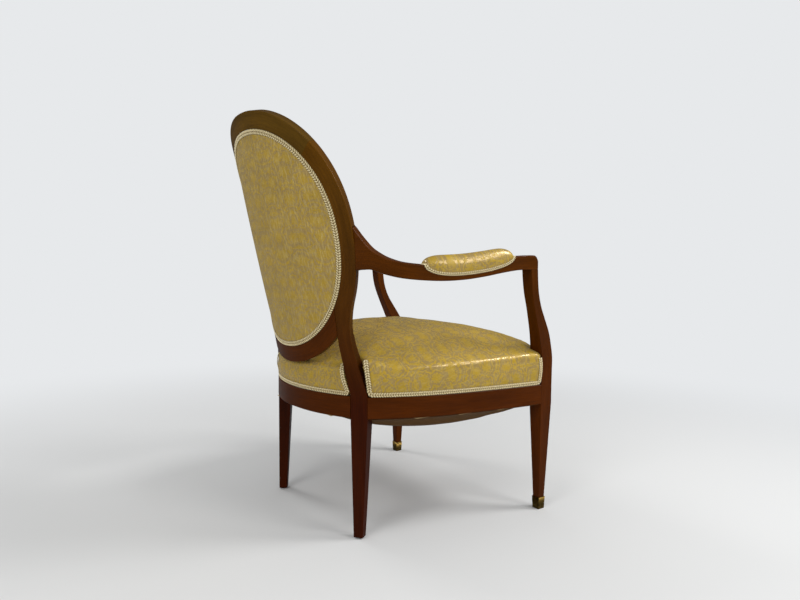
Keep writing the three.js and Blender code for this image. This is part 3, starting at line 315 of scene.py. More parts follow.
def polished_wood(name, low, high, offset):
    """Mahogany under satin lacquer: wide flame bands, narrow streaks and short dark pores, all drawn
    out along the grain. Its colour is painted lighter and browner with each step from the floor, as painted
    light from above."""
    material, add = new_material(name)
    grain = add("Attribute", attribute_name="grain")["Vector"]
    place = add("TexCoord")["Object"]

    def along(stretch, size, detail):
        """Noise of a size across the grain, and drawn out by a stretch along it."""
        scaled = add("Mapping", {
            "Vector": grain, "Location": (offset, 0, 0), "Scale": (1 / (size * stretch), 1 / size, 1 / size)
        })
        return add("TexNoise", {"Vector": scaled["Vector"], "Scale": 1.0, "Detail": detail})["Fac"]

    # Painted light: the tone runs from the low colour to the high one with height, lighter where light from
    # above falls.
    height = add("SeparateXYZ", {"Vector": place})["Z"]
    wear_and_painted_light = add("MapRange", height, 0.28, 0.72, 0.0, 1.0)
    tone = add("Mix", {"Factor": wear_and_painted_light, "A": linear(low), "B": linear(high)}, data_type="RGBA")
    flame = add("MapRange", along(7, 0.03, 3.0), 0.32, 0.7, 0.8, 1.22)
    streaks = add("MapRange", along(22, 0.0022, 2.0), 0.35, 0.68, 0.84, 1.1)
    pores = add("MapRange", along(14, 0.0009, 1.0), 0.6, 0.75, 1.0, 0.84)
    shade = add("Math MULTIPLY", streaks, pores)
    shade = add("Math MULTIPLY", shade, flame)
    colour = add("VectorMath SCALE", {0: tone, "Scale": shade})
    wear = add("TexNoise", {"Vector": place, "Scale": 26.0, "Detail": 5.0})["Fac"]
    rough = add("MapRange", wear, 0.3, 0.75, 0.3, 0.42)
    dents = add("Bump", {"Height": wear, "Strength": 0.08, "Distance": 0.0006})
    shader = add("BsdfPrincipled", {
        "Base Color": colour,
        "Roughness": rough,
        "Normal": dents,
        "IOR": 1.5,
        "Specular IOR Level": 0.06,
        "Coat Weight": 0.04,
        "Coat Roughness": 0.16,
    })
    add("OutputMaterial", {"Surface": shader})
    return material


# Painted light: these tones copy one mahogany in light and shade. The crest's tone is the colour of its lit
# upper face, and the brown tone rises from the shaded foot to that lit colour.
red_mahogany = polished_wood("polished_red_mahogany", "#4b2000", "#522a02", 0.0)
brown_mahogany = polished_wood("polished_brown_mahogany", "#391100", "#5d3a05", 3.1)
lit_crest_mahogany = polished_wood("polished_crest_mahogany", "#5b400f", "#5b400f", 5.7)


def square_post(height, x, y, width, depth):
    """Square sections up a post, each turned square to the chair, and their places in the grain."""
    corners = np.array([[1, 1], [-1, 1], [-1, -1], [1, -1]])
    rings = np.empty((len(height), 4, 3))
    rings[:, :, 0] = x[:, None] + corners[:, 0] * width[:, None] / 2
    rings[:, :, 1] = y[:, None] + corners[:, 1] * depth[:, None] / 2
    rings[:, :, 2] = height[:, None]
    grain = np.stack([rings[:, :, 2], rings[:, :, 0] - x[:, None], rings[:, :, 1] - y[:, None]], axis=-1)
    return rings, grain


leg = np.array([sabot_base + fit, leg_height])
rise = np.linspace(0, 1, 41)
back, splay, narrow, thin = through(support_shares, rise).T
post_overlap = 0.0008  # how far the support reaches into the arm, past both eased edges
post_height = np.concatenate([leg, rail_top + rise * (arm_underside + post_overlap - rail_top)])
leg_size = front_foot_size + (post_size - front_foot_size) * leg / leg_height
post_x = front_x + support_splay * np.concatenate([[0, 0], splay])
post_y = front_y + support_setback * np.concatenate([[0, 0], back])
post_width = np.concatenate([leg_size, post_size + (support_width - post_size) * narrow])
post_depth = np.concatenate([leg_size, post_size + (support_depth - post_size) * thin])
rings, grain = square_post(post_height, post_x, post_y, post_width, post_depth)
both_sides("front_post", rings, grain, red_mahogany)

# Oval back: the shape that every part of it follows
# The back bends round the sitter like part of a cone and leans back, and its outline is an oval
# that is a little wider at the top. u runs across its rear face, v up it, and depth forwards.
rear_turn = math.radians(35)
rear_x = 0.1869
rear_width, rear_depth = 0.0382, 0.031
rear_out = np.array([math.sin(rear_turn), math.cos(rear_turn)])
rear_across = np.array([math.cos(rear_turn), -math.sin(rear_turn)])
rear_face = np.array([rear_x, middle_y + seat_depth / 2])
rear_corner = rear_face - rear_across * rear_width / 2
rear_bow, back_setback = 0.0456, 0.0609
oval_width, oval_height = 0.2378, 0.2712
oval_power = 2 / 2.19  # an ellipse would have 1, and a squarer oval has less
oval_egg_share = 0.073
back_radius, back_flare_share = 0.324, 0.227
back_rake = math.radians(12.2)
back_hollow = 0.005
back_y = rear_corner[1] + rear_bow + back_setback
back_z = rail_top + 0.0574 + oval_height * math.cos(back_rake)
frame_depth, frame_face = 0.024, 0.031
frame_end_share = 1.17


def back_point(u, v, depth=0.0):
    """A point on the back: u along an arc whose radius grows with v, v up the leaning face with a
    slight hollow, then forwards by depth along the face's own normal."""
    radius = back_radius * (1 + back_flare_share * v / oval_height)
    turn = u / radius
    sin, cos = np.sin(turn), np.cos(turn)
    hollow = back_hollow * (v / oval_height) ** 2
    point = np.stack(
        [
            radius * sin,
            back_y + radius * (cos - 1) + v * math.sin(back_rake) + hollow,
            back_z + v * math.cos(back_rake) + 0 * u,
        ],
        axis=-1,
    )
    growth = back_radius * back_flare_share / oval_height
    rise = np.stack(
        [
            growth * (sin - turn * cos),
            growth * (cos - 1 + turn * sin) + math.sin(back_rake) + 2 * back_hollow * v / oval_height**2,
            np.full_like(turn, math.cos(back_rake)),
        ],
        axis=-1,
    )
    normal = np.cross(rise, np.stack([cos, -sin, 0 * turn], axis=-1))
    normal /= np.linalg.norm(normal, axis=-1, keepdims=True)
    return point - normal * np.asarray(depth)[..., None]


def oval(angle, inset=0.0):
    """u and v on the oval at an angle, inset from its outer edge: a rounded ellipse, wider above."""
    power = lambda value: np.sign(value) * np.abs(value) ** oval_power
    v = power(np.sin(angle))
    u = power(np.cos(angle)) * (1 + oval_egg_share * v)
    return (oval_width - inset) * u, (oval_height - inset * frame_end_share) * v


def run_of(line):
    """How far along a line each of its points lies."""
    return np.concatenate([[0], np.cumsum(np.linalg.norm(np.diff(line, axis=0), axis=1))])


def frame_rings(outer, inner):
    """Sections of the curved frame between two edges, given as u and v: points across the rear
    face, then back across the front face. Also their places in the grain."""
    shares = np.array([0, 0.5, 1])
    (u0, v0), (u1, v1) = outer, inner
    u = u0[:, None] + (u1 - u0)[:, None] * shares
    v = v0[:, None] + (v1 - v0)[:, None] * shares
    rings = np.concatenate([back_point(u, v), back_point(u, v, frame_depth)[:, ::-1]], axis=1)
    middle = rings.mean(axis=1)
    run = run_of(middle)
    width = np.hypot(u1 - u0, v1 - v0)[:, None] * shares
    across = np.concatenate([width, width[:, ::-1]], axis=1)
    deep = np.concatenate([0 * width, 0 * width + frame_depth], axis=1)
    grain = np.stack([run[:, None] + 0 * across, across, deep], axis=-1)
    return rings, grain


# Crest rail and lower back rail
# The crest is bandsawn from a wide board and meets the posts in two butt joints. The lower rail
# fills the space between the stiles, with its ends cut to them, and closes the oval below.
crest_joint = math.radians(43)
joint_gap = 0.00001
back_edge = 0.0018
lower_rail_length, lower_rail_half = 0.36, 0.15
angles = np.linspace(crest_joint, math.pi - crest_joint, 73)
angles[0] += joint_gap / oval_width
angles[-1] -= joint_gap / oval_width
rings, grain = frame_rings(oval(angles), oval(angles, frame_face))
crest = skin("crest_rail_wood", rings, grain)
eased(crest, back_edge)
settle(crest, lit_crest_mahogany, "wood", "crest_rail")

crotch, stile_join = math.radians(-46.4), math.radians(-26)
ledge_inset = 0.045
crotch_u, crotch_v = oval(np.array(crotch))
ledge_u, ledge_v = oval(np.array(stile_join), ledge_inset)


def joint_angle(inset):
    """The oval's angle where, at an inset, it crosses the straight joint of stile and lower rail."""
    turns = np.linspace(crotch, stile_join, 400)
    found = []
    for each in inset:
        u, v = oval(turns, each)
        side = (u - crotch_u) * (ledge_v - crotch_v) - (v - crotch_v) * (ledge_u - crotch_u)
        found.append(turns[np.argmin(np.abs(side))])
    return np.array(found)


lower_insets = np.linspace(0, frame_face, 7)
from_right = joint_angle(lower_insets)
share = np.linspace(0, 1, 61)[:, None]
turns = from_right + share * (-math.pi - 2 * from_right)
u, v = oval(turns, lower_insets + 0 * share)
u = u * (1 - joint_gap / lower_rail_half)
rings = np.concatenate([back_point(u, v), back_point(u, v, frame_depth)[:, ::-1]], axis=1)
across = np.concatenate([lower_insets, lower_insets[::-1]]) + 0 * share
deep = np.concatenate([0 * lower_insets, 0 * lower_insets + frame_depth]) + 0 * share
grain = np.stack([share * lower_rail_length + 0 * across, across, deep], axis=-1)
lower = skin("lower_back_rail_wood", rings, grain)
eased(lower, back_edge)
settle(lower, red_mahogany, "wood", "lower_back_rail")

# Rear posts
# The hardest piece of the chair: one board makes the turned-out leg, the waisted stile that
# twists inwards above the seat, and the side of the oval, with no joint between them.
stile_width = 0.0288
stile_lean_share, stile_rise_share = 0.24, 0.05
rear_foot_width, rear_foot_depth = 0.0205, 0.0194
glide_height = 0.0025
stile_u, stile_v = crotch_u + stile_width / 2, crotch_v
bare_share = 0.62  # of the way from the crotch to the oval's side, where the rail's joint ends


def bezier(points, t):
    """A cubic Bezier curve through its four control points at places t."""
    a, b, c, d = (np.asarray(p, float) for p in points)
    t = np.asarray(t)[:, None]
    return a * (1 - t) ** 3 + 3 * b * t * (1 - t) ** 2 + 3 * c * t**2 * (1 - t) + d * t**3


def unit(vectors):
    """Vectors at length one."""
    return vectors / np.linalg.norm(vectors, axis=-1, keepdims=True)


def turned_sections(middle, across, out, width, depth):
    """Oblong sections: from the middle of the outer face, half the width to either side, and the
    depth inwards, with a point in the middle of each broad face."""
    shares = np.array([0, 0.5, 1])
    side = (0.5 - shares) * width[:, None]
    outer = middle[:, None] + across[:, None] * side[..., None]
    inner = outer - out[:, None] * depth[:, None, None]
    rings = np.concatenate([outer, inner[:, ::-1]], axis=1)
    wide = shares * width[:, None]
    flat = np.concatenate([wide, wide[:, ::-1]], axis=1)
    deep = np.concatenate([0 * wide, 0 * wide + depth[:, None]], axis=1)
    return rings, flat, deep


foot_heights = np.array([glide_height + fit, leg_height, leg_height + rail_height / 2])
foot_share = np.clip(foot_heights / leg_height, 0, 1)
leg_middle = np.column_stack([np.tile(rear_face, (3, 1)), foot_heights])
t = np.linspace(0, 1, 31)[:-1]
stile_foot = np.array([*rear_face, rail_top])
stile_top = back_point(stile_u, stile_v)
under = back_point(stile_u - stile_rise_share * stile_width, stile_v - stile_width)
handle = np.linalg.norm(stile_top - stile_foot) / 3
lean = unit(np.array([*(-stile_lean_share * rear_across), 1.0]))
rise = unit(under - stile_top)
stile_middle = bezier([stile_foot, stile_foot + lean * handle, stile_top + rise * handle, stile_top], t)
ease = 3 * t**2 - 2 * t**3
top_across = unit(back_point(stile_u + 1e-4, stile_v) - back_point(stile_u - 1e-4, stile_v))
top_out = unit(back_point(stile_u, stile_v) - back_point(stile_u, stile_v, 1e-3))
across_low, out_low = np.array([*rear_across, 0.0]), np.array([*rear_out, 0.0])
stile_across = unit(across_low + t[:, None] * (top_across - across_low))
stile_out = unit(out_low + t[:, None] * (top_out - out_low))
lower_part = turned_sections(
    np.concatenate([leg_middle, stile_middle]),
    np.concatenate([np.tile(across_low, (3, 1)), stile_across]),
    np.concatenate([np.tile(out_low, (3, 1)), stile_out]),
    np.concatenate([
        rear_foot_width + (rear_width - rear_foot_width) * foot_share,
        rear_width + (stile_width - rear_width) * ease,
    ]),
    np.concatenate([
        rear_foot_depth + (rear_depth - rear_foot_depth) * foot_share,
        rear_depth + (frame_depth - rear_depth) * ease,
    ]),
)

# Where the stile widens into the oval, its outer edge sweeps into the oval's, while its inner edge
# runs up the joint with the lower rail and then round the oval's opening.
bare_angle = joint_angle([frame_face])[0]
join_u, join_v = oval(np.array(stile_join))
ahead_u, ahead_v = oval(np.array(stile_join + math.radians(2)))
start = np.array([stile_u + stile_width / 2, stile_v])
reach = np.hypot(join_u - start[0], join_v - start[1]) / 3
heading = unit(np.array([ahead_u - join_u, ahead_v - join_v]))
joined = np.array([join_u, join_v])
share = np.linspace(0, 1, 25)
rising = start + np.array([stile_rise_share, 1]) * reach
sweep = bezier([start, rising, joined - heading * reach, joined], share)
bare_u, bare_v = oval(np.array(bare_angle), frame_face)
climb = np.clip(share / bare_share, 0, 1)
inner_u = crotch_u + climb * (bare_u - crotch_u)
inner_v = crotch_v + climb * (bare_v - crotch_v)
round_angle = bare_angle + np.clip((share - bare_share) / (1 - bare_share), 0, 1) * (stile_join - bare_angle)
round_u, round_v = oval(round_angle, frame_face)
inner_u = np.where(share > bare_share, round_u, inner_u)
inner_v = np.where(share > bare_share, round_v, inner_v)
arc = np.linspace(stile_join, crest_joint - joint_gap / oval_width, 60)[1:]
outer_u, outer_v = oval(arc)
inside_u, inside_v = oval(arc, frame_face)
upper, upper_grain = frame_rings(
    (np.concatenate([sweep[:, 0], outer_u]), np.concatenate([sweep[:, 1], outer_v])),
    (np.concatenate([inner_u, inside_u]), np.concatenate([inner_v, inside_v])),
)
rings = np.concatenate([lower_part[0], upper])
flat = np.concatenate([lower_part[1], upper_grain[..., 1]])
deep = np.concatenate([lower_part[2], upper_grain[..., 2]])
middle = rings.mean(axis=1)
run = run_of(middle)
grain = np.stack([run[:, None] + 0 * flat, flat, deep], axis=-1)
both_sides("rear_post", rings, grain, brown_mahogany, edge=back_edge)

# Arms
# Each arm is sawn from thick stock. It springs from the side of the oval, sweeps down and forwards
# in one curve and is mortised from below for its support. Its edges are only just eased.
arm_dip, arm_depth, arm_width, arm_overhang = 0.025, 0.031, 0.030, 0.001
arm_rear_handle, arm_front_handle = 0.073, 0.196
arm_join = math.radians(-3.4)
arm_lean_share = 0.2
arm_grain, arm_edge = 0.8, 0.0024
root_ease = 0.0004  # the arm's root is this much thinner than the frame that it grows out of
root_overlap = 0.0008  # how far the root reaches under the frame's eased edge
arm_cant = 0.011  # how much higher the inner edge of its top is than the outer one
arm_cant_shares = np.array([
    [-0.05, 0.2], [0, 0.6], [0.04, 1], [0.1, 0.9], [0.2, 0.45], [0.4, 0.2], [0.7, 0], [1, 0]
])
oval_body = [(0.02, -0.02), (1, -0.02), (1, 0.045), (0.02, 0.045)]
# Place along the arm, dip, depth and width.
arm_shares = np.array([
    [-0.05, 0.18, 3.4, 0.8],
    [0, 0.17, 2.53, 0.8],
    [0.025, 0.16, 1.97, 0.82],
    [0.067, 0.14, 1.26, 0.86],
    [0.12, 0.43, 1.03, 0.92],
    [0.2, 0.75, 0.98, 1],
    [0.3, 0.94, 1, 1],
    [0.4, 1, 1, 1],
    [0.52, 0.9, 1, 1],
    [0.645, 0.62, 1, 1],
    [0.765, 0.26, 1, 1],
    [0.87, 0.03, 1, 1],
    [0.93, 0, 1.04, 1],
    [0.96, 0, 1.05, 1],
    [0.985, 0, 0.95, 0.98],
    [1, 0, 0.62, 0.95],
])


def read_at(table, run, places):
    """The columns of a table that follows a run, read at places along it."""
    return np.stack([np.interp(places, run, column) for column in table.T], axis=-1)


def course(line):
    """A way along a finely drawn line: a function from shares of its length to the points there and
    the headings. Past the ends it runs on straight. Also the line's length."""
    run = run_of(line)
    headings = unit(np.gradient(line, run, axis=0))

    def walk(shares):
        shares = np.asarray(shares, float)
        inside = np.clip(shares, 0, 1)
        heading = unit(read_at(headings, run, inside * run[-1]))
        point = read_at(line, run, inside * run[-1])
        return point + heading * ((shares - inside) * run[-1])[..., None], heading

    return walk, run[-1]


root_u, root_v = oval(np.array(arm_join))
arm_root = back_point(root_u, root_v, frame_depth / 2)
root_turn = root_u / (back_radius * (1 + back_flare_share * root_v / oval_height))
root_heading = np.array([math.cos(root_turn), -math.sin(root_turn)])
arm_tip = np.array([post_x[-1], post_y[-1] - post_depth[-1] / 2 - arm_overhang])
front_handle = arm_tip + np.array([0, arm_front_handle])
fine = np.linspace(0, 1, 500)
arm_walk, arm_length = course(
    bezier([arm_root[:2], arm_root[:2] + root_heading * arm_rear_handle, front_handle, arm_tip], fine)
)


def outwards(heading):
    """Headings in plan turned a quarter clockwise."""
    return np.stack([heading[..., 1], -heading[..., 0]], axis=-1)


def arm_at(shares):
    """The arm at shares of its length: its plan point, the way across it, underside, top and width."""
    point, heading = arm_walk(shares)
    dip, depth, width = through(arm_shares, shares).T
    low = arm_underside - arm_dip * dip
    return point, outwards(heading), low, low + arm_depth * depth, arm_width * width


def finished(piece):
    """Put the effect of a piece's modifiers into its mesh."""
    shown = piece.evaluated_get(bpy.context.evaluated_depsgraph_get())
    made = bpy.data.meshes.new_from_object(shown)
    piece.modifiers.clear()
    old, piece.data = piece.data, made
    bpy.data.meshes.remove(old)


def carved(piece, cutters):
    """Cut solids out of a piece, in its mesh."""
    for cutter in cutters:
        less = piece.modifiers.new("room_for_the_frame", "BOOLEAN")
        less.operation, less.solver, less.object = "DIFFERENCE", "MANIFOLD", cutter
    finished(piece)


shares = np.concatenate([np.linspace(-0.05, 0.12, 24), np.linspace(0.14, 0.96, 42), [0.973, 0.985, 0.993, 1]])
point, out, low, high, width = arm_at(shares)
width = width - np.where(shares < 0.03, root_ease, 0)
cant = arm_cant * through(arm_cant_shares, shares)[:, 0]
lean = math.tan(back_rake) * np.clip(1 - shares / arm_lean_share, 0, 1)
side = np.array([-0.5, 0, 0.5, 0.5, 0.5, 0, -0.5, -0.5]) * width[:, None]
rise = np.array([0, 0, 0, 0.5, 1, 1, 1, 0.5]) * (high - low)[:, None] + low[:, None]
rise += np.array([0, 0, 0, 0, 1, 0.5, 0, 0]) * cant[:, None]
raked = out[:, 1, None] * lean[:, None] * (rise - arm_root[2])
plan = point[:, None] + out[:, None] * (side + raked)[..., None]
rings = np.concatenate([plan, rise[..., None]], axis=-1)
grain = np.stack([(shares * arm_length)[:, None] + 0 * side, rise - low[:, None], side], axis=-1)
u, v = oval(full_turn(240), root_overlap)
body = np.stack([back_point(share * u, share * v, depth) for share, depth in oval_body])
for side_name, points, hollow in (("left", rings, body), ("right", mirrored(rings), mirrored(body))):
    arm = skin(f"arm_{side_name}_wood", points, grain + arm_grain)
    eased(arm, arm_edge, ends=True)
    finished(arm)
    oval_solid = skin("cut_oval", hollow)
    carved(arm, [oval_solid])
    bpy.data.objects.remove(oval_solid)
    arm.modifiers.new("flat_faces", "WEIGHTED_NORMAL")
    settle(arm, red_mahogany, "wood", f"arm_{side_name}")

# Seat rails
# Four mahogany rails, sawn to the seat's curves and tenoned into the posts, flush with their faces.
rail_thickness = 0.026
front_bow = 0.012
side_handle_shares = np.array([[0.16, 0.36], [0.31, 0.76]])
front_corner = np.array([front_x - post_size / 2, front_y - post_size / 2])
side_front = np.array([front_x + post_size / 2, front_y + post_size / 2])
side_rear = rear_face + rear_across * rear_width / 2
flip = np.array([-1, 1])


def bowed(start, end, bow):
    """A finely drawn parabola between two plan points, bowed along Y."""
    handle = (start + end) / 2 + np.array([0, 2 * bow])
    return bezier([start, start + (handle - start) * 2 / 3, end + (handle - end) * 2 / 3, end], fine)


front_line = bowed(front_corner * flip, front_corner, -front_bow)
side_line = bezier(
    [side_front, *(side_front + (side_rear - side_front) * side_handle_shares), side_rear], fine
)
rear_line = bowed(rear_corner, rear_corner * flip, rear_bow)
front_course, side_course, rear_course = course(front_line), course(side_line), course(rear_line)


rail_steps = 48


def rail_rings(way, length, faces):
    """Sections of a rail behind its face line, cut off square against the posts' faces, each given
    as a point on it and the way out of the post. Also their places in the grain."""
    point, heading = way(np.linspace(0, 1, rail_steps))
    inner = -outwards(heading)
    depth = rail_thickness * np.array([0, 0.5, 1, 1, 0.5, 0])
    height = leg_height + rail_height * np.array([0, 0, 0, 1, 1, 1])
    plan = point[:, None] + inner[:, None] * depth[:, None]
    for corner, normal in faces:
        short = fit + ((corner - plan) * normal).sum(axis=-1)
        slope = (heading * normal).sum(axis=-1)[:, None]
        plan = plan + heading[:, None] * (np.maximum(short, 0) / slope)[..., None]
    rings = np.concatenate([plan, np.broadcast_to(height[:, None], (*plan.shape[:2], 1))], axis=-1)
    run = np.linspace(0, length, rail_steps)[:, None] + 0 * depth
    return rings, np.stack([run, rings[..., 2] - leg_height, depth + 0 * run], axis=-1)


rail_edge = 0.0014
side_rail_grain = 0.2
toward_middle = np.array([-1.0, 0.0])
rings, grain = rail_rings(*side_course, [(side_front, np.array([0.0, 1.0])), (side_rear, rear_across)])
both_sides("side_rail", rings, grain + side_rail_grain, red_mahogany, edge=rail_edge)
front_faces = [(front_corner * flip, -toward_middle), (front_corner, toward_middle)]
rear_faces = [(rear_corner, -rear_across), (rear_corner * flip, -rear_across * flip)]
for name, line, further, faces in (
    ("front_rail", front_course, 1.1, front_faces),
    ("rear_rail", rear_course, 0.99, rear_faces),
):
    rings, grain = rail_rings(*line, faces)
    piece = skin(f"{name}_wood", rings, grain + further)
    eased(piece, rail_edge)
    settle(piece, red_mahogany, "wood", name)

# Corner blocks and their screws
# Beech offcuts, rough from the saw, are glued behind the posts and each held by one steel screw.


def rough_beech():
    """Sawn beech: pale brown with fine darker flecks along Z and saw marks across them."""
    material, add = new_material("sawn_beech")
    place = add("TexCoord")["Object"]
    drawn = add("Mapping", {"Vector": place, "Scale": (420, 420, 60)})
    fleck = add("TexNoise", {"Vector": drawn, "Scale": 1.0, "Detail": 3.0})["Fac"]
    tone = add("Mix", {"Factor": fleck, "A": linear("#8d6a43"), "B": linear("#c19d70")}, data_type="RGBA")
    saw = add("TexWave", {"Vector": place, "Scale": 90.0, "Distortion": 1.5}, bands_direction="Z")["Fac"]
    marks = add("Bump", {"Height": saw, "Strength": 0.25, "Distance": 0.0003})
    shader = add("BsdfPrincipled", {"Base Color": tone, "Roughness": 0.78, "Normal": marks})
    add("OutputMaterial", {"Surface": shader})
    return material


def drawn_metal(name, colour, stain, smooth, rough):
    """Metal whose finish hands have rubbed: patches of a darker tarnish and a roughness that follows them."""
    material, add = new_material(name)
    place = add("TexCoord")["Object"]
    patch = add("TexNoise", {"Vector": place, "Scale": 160.0, "Detail": 6.0})["Fac"]
    wear_and_painted_light = add("MapRange", patch, 0.38, 0.66)
    tone = add("Mix", {"Factor": wear_and_painted_light, "A": linear(colour), "B": linear(stain)}, data_type="RGBA")
    gloss = add("MapRange", {"Value": wear_and_painted_light, "To Min": smooth, "To Max": rough})
    scratch = add("TexNoise", {"Vector": place, "Scale": 900.0, "Detail": 2.0})["Fac"]
    marks = add("Bump", {"Height": scratch, "Strength": 0.05, "Distance": 0.0001})
    shader = add("BsdfPrincipled", {"Base Color": tone, "Metallic": 1.0, "Roughness": gloss, "Normal": marks})
    add("OutputMaterial", {"Surface": shader})
    return material


beech = rough_beech()
steel = drawn_metal("drawn_steel", "#8b8986", "#5d5651", 0.32, 0.5)
for place in ("front", "rear"):
    for side_name in ("left", "right"):
        dress(bpy.data.objects[f"{place}_corner_block_{side_name}"], beech)
        dress(bpy.data.objects[f"{place}_block_screw_{side_name}"], steel)

# Sabots and glides
# The front feet stand in square tapered cups of thin brass. The rear feet have a domed steel glide,
# driven in with its own pin.
sabot_height, sabot_wall = 0.028, 0.001
brass = drawn_metal("aged_brass", "#7a6230", "#4f3f20", 0.34, 0.5)
cup_height = np.array([0, sabot_height, sabot_height, sabot_base])
leg_at = front_foot_size + (post_size - front_foot_size) * cup_height / leg_height
cup = leg_at + 2 * np.array([sabot_wall + fit, sabot_wall + fit, fit / 2, fit / 2])
level = np.full(4, 1.0)
rings, grain = square_post(cup_height, front_x * level, front_y * level, cup, cup)
both_sides("front_sabot", rings, grain, brass, slot="brass", edge=0.0004)

glide_radius, glide_pin_radius, glide_pin_length = 0.0075, 0.0015, 0.012
glide_flat_share = 0.55
dome = np.linspace(0, np.pi / 2, 10)
dome_radius = glide_radius * (glide_flat_share + (1 - glide_flat_share) * np.sin(dome))
profile_radius = np.concatenate([dome_radius, [glide_radius, glide_pin_radius, glide_pin_radius]])
dome_rise = glide_height / 2 * (1 - np.cos(dome))
profile_height = np.concatenate([dome_rise, glide_height + np.array([0, 0, glide_pin_length])])
round_turns = full_turn(48)
glide_x, glide_y = rear_face - rear_out * rear_foot_depth / 2
rings = np.stack(
    [
        glide_x + profile_radius[:, None] * np.cos(round_turns),
        glide_y + profile_radius[:, None] * np.sin(round_turns),
        profile_height[:, None] + 0 * round_turns,
    ],
    axis=-1,
)
both_sides("rear_glide", rings, 0 * rings, steel, slot="steel", edge=0.0003)

# Webbing
# Three strips of jute webbing each way, woven over and under one another, are strained across the
# underside of the rails and tacked there.
web_width, web_thickness, web_sag, web_inset = 0.060, 0.0012, 0.002, 0.006
web_pitch, web_middle, web_step = 0.100, -0.010 + middle_y, 0.004


def woven_jute(name, light, dark, thread):
    """Plain-woven jute: two sets of bars crossing at the thread's spacing, in hairy uneven brown."""
    material, add = new_material(name)
    place = add("TexCoord")["Object"]
    turns = 2 * math.pi / (20 * thread)
    warp = add("TexWave", {"Vector": place, "Scale": turns, "Distortion": 0.6}, bands_direction="X")["Fac"]
    weft = add("TexWave", {"Vector": place, "Scale": turns, "Distortion": 0.6}, bands_direction="Y")["Fac"]
    weave = add("Math MAXIMUM", warp, weft)
    hair = add("TexNoise", {"Vector": place, "Scale": 700.0, "Detail": 4.0})["Fac"]
    fuzzy = add("Math MULTIPLY", weave, hair)
    lit = add("MapRange", {"Value": fuzzy, "From Max": 0.6})
    tone = add("Mix", {"Factor": lit, "A": linear(dark), "B": linear(light)}, data_type="RGBA")
    relief = add("Bump", {"Height": fuzzy, "Strength": 0.5, "Distance": thread / 3})
    shader = add("BsdfPrincipled", {"Base Color": tone, "Roughness": 0.92, "Normal": relief})
    add("OutputMaterial", {"Surface": shader})
    return material


webbing_jute = woven_jute("jute_webbing", "#b59a6d", "#6f5632", 0.0022)


def web_rings(ends, crossings, first, lengthwise, middle):
    """A flat strip between two ends on one axis: it sinks under every other strip that it meets."""
    run = np.arange(ends[0] + web_inset, ends[1] - web_inset, web_step)
    stops, sinks = [ends[0] + rail_thickness], [0]
    for i, crossing in enumerate(crossings):
        stops += [crossing - web_width / 2, crossing + web_width / 2]
        sinks += [web_sag + (web_thickness + fit) * ((i + first) % 2)] * 2
    sink = np.interp(run, stops + [ends[1] - rail_thickness], sinks + [0])
    level = leg_height - fit - web_thickness / 2 - sink
    side = web_width * np.array([-0.5, 0, 0.5, 0.5, 0, -0.5])
    deep = web_thickness * np.array([-0.5, -0.5, -0.5, 0.5, 0.5, 0.5])
    along, across = run[:, None] + 0 * side, middle + side + 0 * run[:, None]
    x, y = (across, along) if lengthwise else (along, across)
    return np.stack([x, y, level[:, None] + deep], axis=-1)


columns = [-web_pitch, 0, web_pitch]
rows = [web_middle - web_pitch, web_middle, web_middle + web_pitch]
webs = []
for i, middle in enumerate(columns):
    ends = [np.interp(middle, line[:, 0], line[:, 1]) for line in (front_line, rear_line[::-1])]
    webs.append((
        f"webbing_lengthwise_{i + 1}", web_rings(ends, rows, i, True, middle), ["front_rail", "rear_rail"]
    ))
for i, middle in enumerate(rows):
    reach = np.interp(middle, side_line[:, 1], side_line[:, 0])
    ends = [-reach, reach]
    webs.append((
        f"webbing_crosswise_{i + 1}",
        web_rings(ends, columns, i + 1, False, middle),
        ["side_rail_left", "side_rail_right"],
    ))
for name, rings, carriers in webs:
    strip = skin(f"{name}_cloth", rings)
    settle(strip, webbing_jute, "jute", name)

# Springs
# Five waisted coil springs of coppered steel wire stand on the webbing's crossings.
spring_wire, spring_turns, steps_a_turn = 0.0034, 5, 28
spring_end_radius, spring_waist_radius = 0.032, 0.020
hessian_rise = 0.074
wire_low = leg_height - web_sag + spring_wire / 2
wire_high = rail_top + hessian_rise - spring_wire / 2
coppered = drawn_metal("coppered_spring_wire", "#8a6a52", "#584a40", 0.3, 0.5)


def spring_rings(x, y):
    """A round wire carried along a helix whose radius narrows evenly to its waist and widens again."""
    share = np.linspace(0, 1, spring_turns * steps_a_turn + 1)
    turn = 2 * np.pi * spring_turns * share
    waist = 1 - np.abs(2 * share - 1)
    reach = spring_end_radius + (spring_waist_radius - spring_end_radius) * waist
    section = full_turn(8)
    radius = reach[:, None] + spring_wire / 2 * np.cos(section)
    height = (wire_low + (wire_high - wire_low) * share)[:, None] + spring_wire / 2 * np.sin(section)
    return np.stack([x + radius * np.cos(turn)[:, None], y + radius * np.sin(turn)[:, None], height], axis=-1)


spring_places = [(0, 0), (-1, -1), (1, -1), (-1, 1), (1, 1)]
for i, (across, back) in enumerate(spring_places):
    coil = skin(f"spring_{i + 1}_wire", spring_rings(across * web_pitch, web_middle + back * web_pitch))
    settle(coil, coppered, "steel", f"spring_{i + 1}")

# Seat plan and hessian
# Hessian is stretched over the springs and tacked along the rails, under the seat's stuffing.
hessian_thickness = 0.0012
pad_setback, pad_lip, pad_edge, pad_bulge = 0.0026, 0.005, 0.060, 0.003
hessian_run = 0.049
tuck_share = 0.4  # at the side the cover follows the stile's lean only so far, which leaves a gap
hessian_rows = np.array([[0, 0, 0], [0.4, 0.45, 0.62], [1, 1, 1]])  # step, run and rise


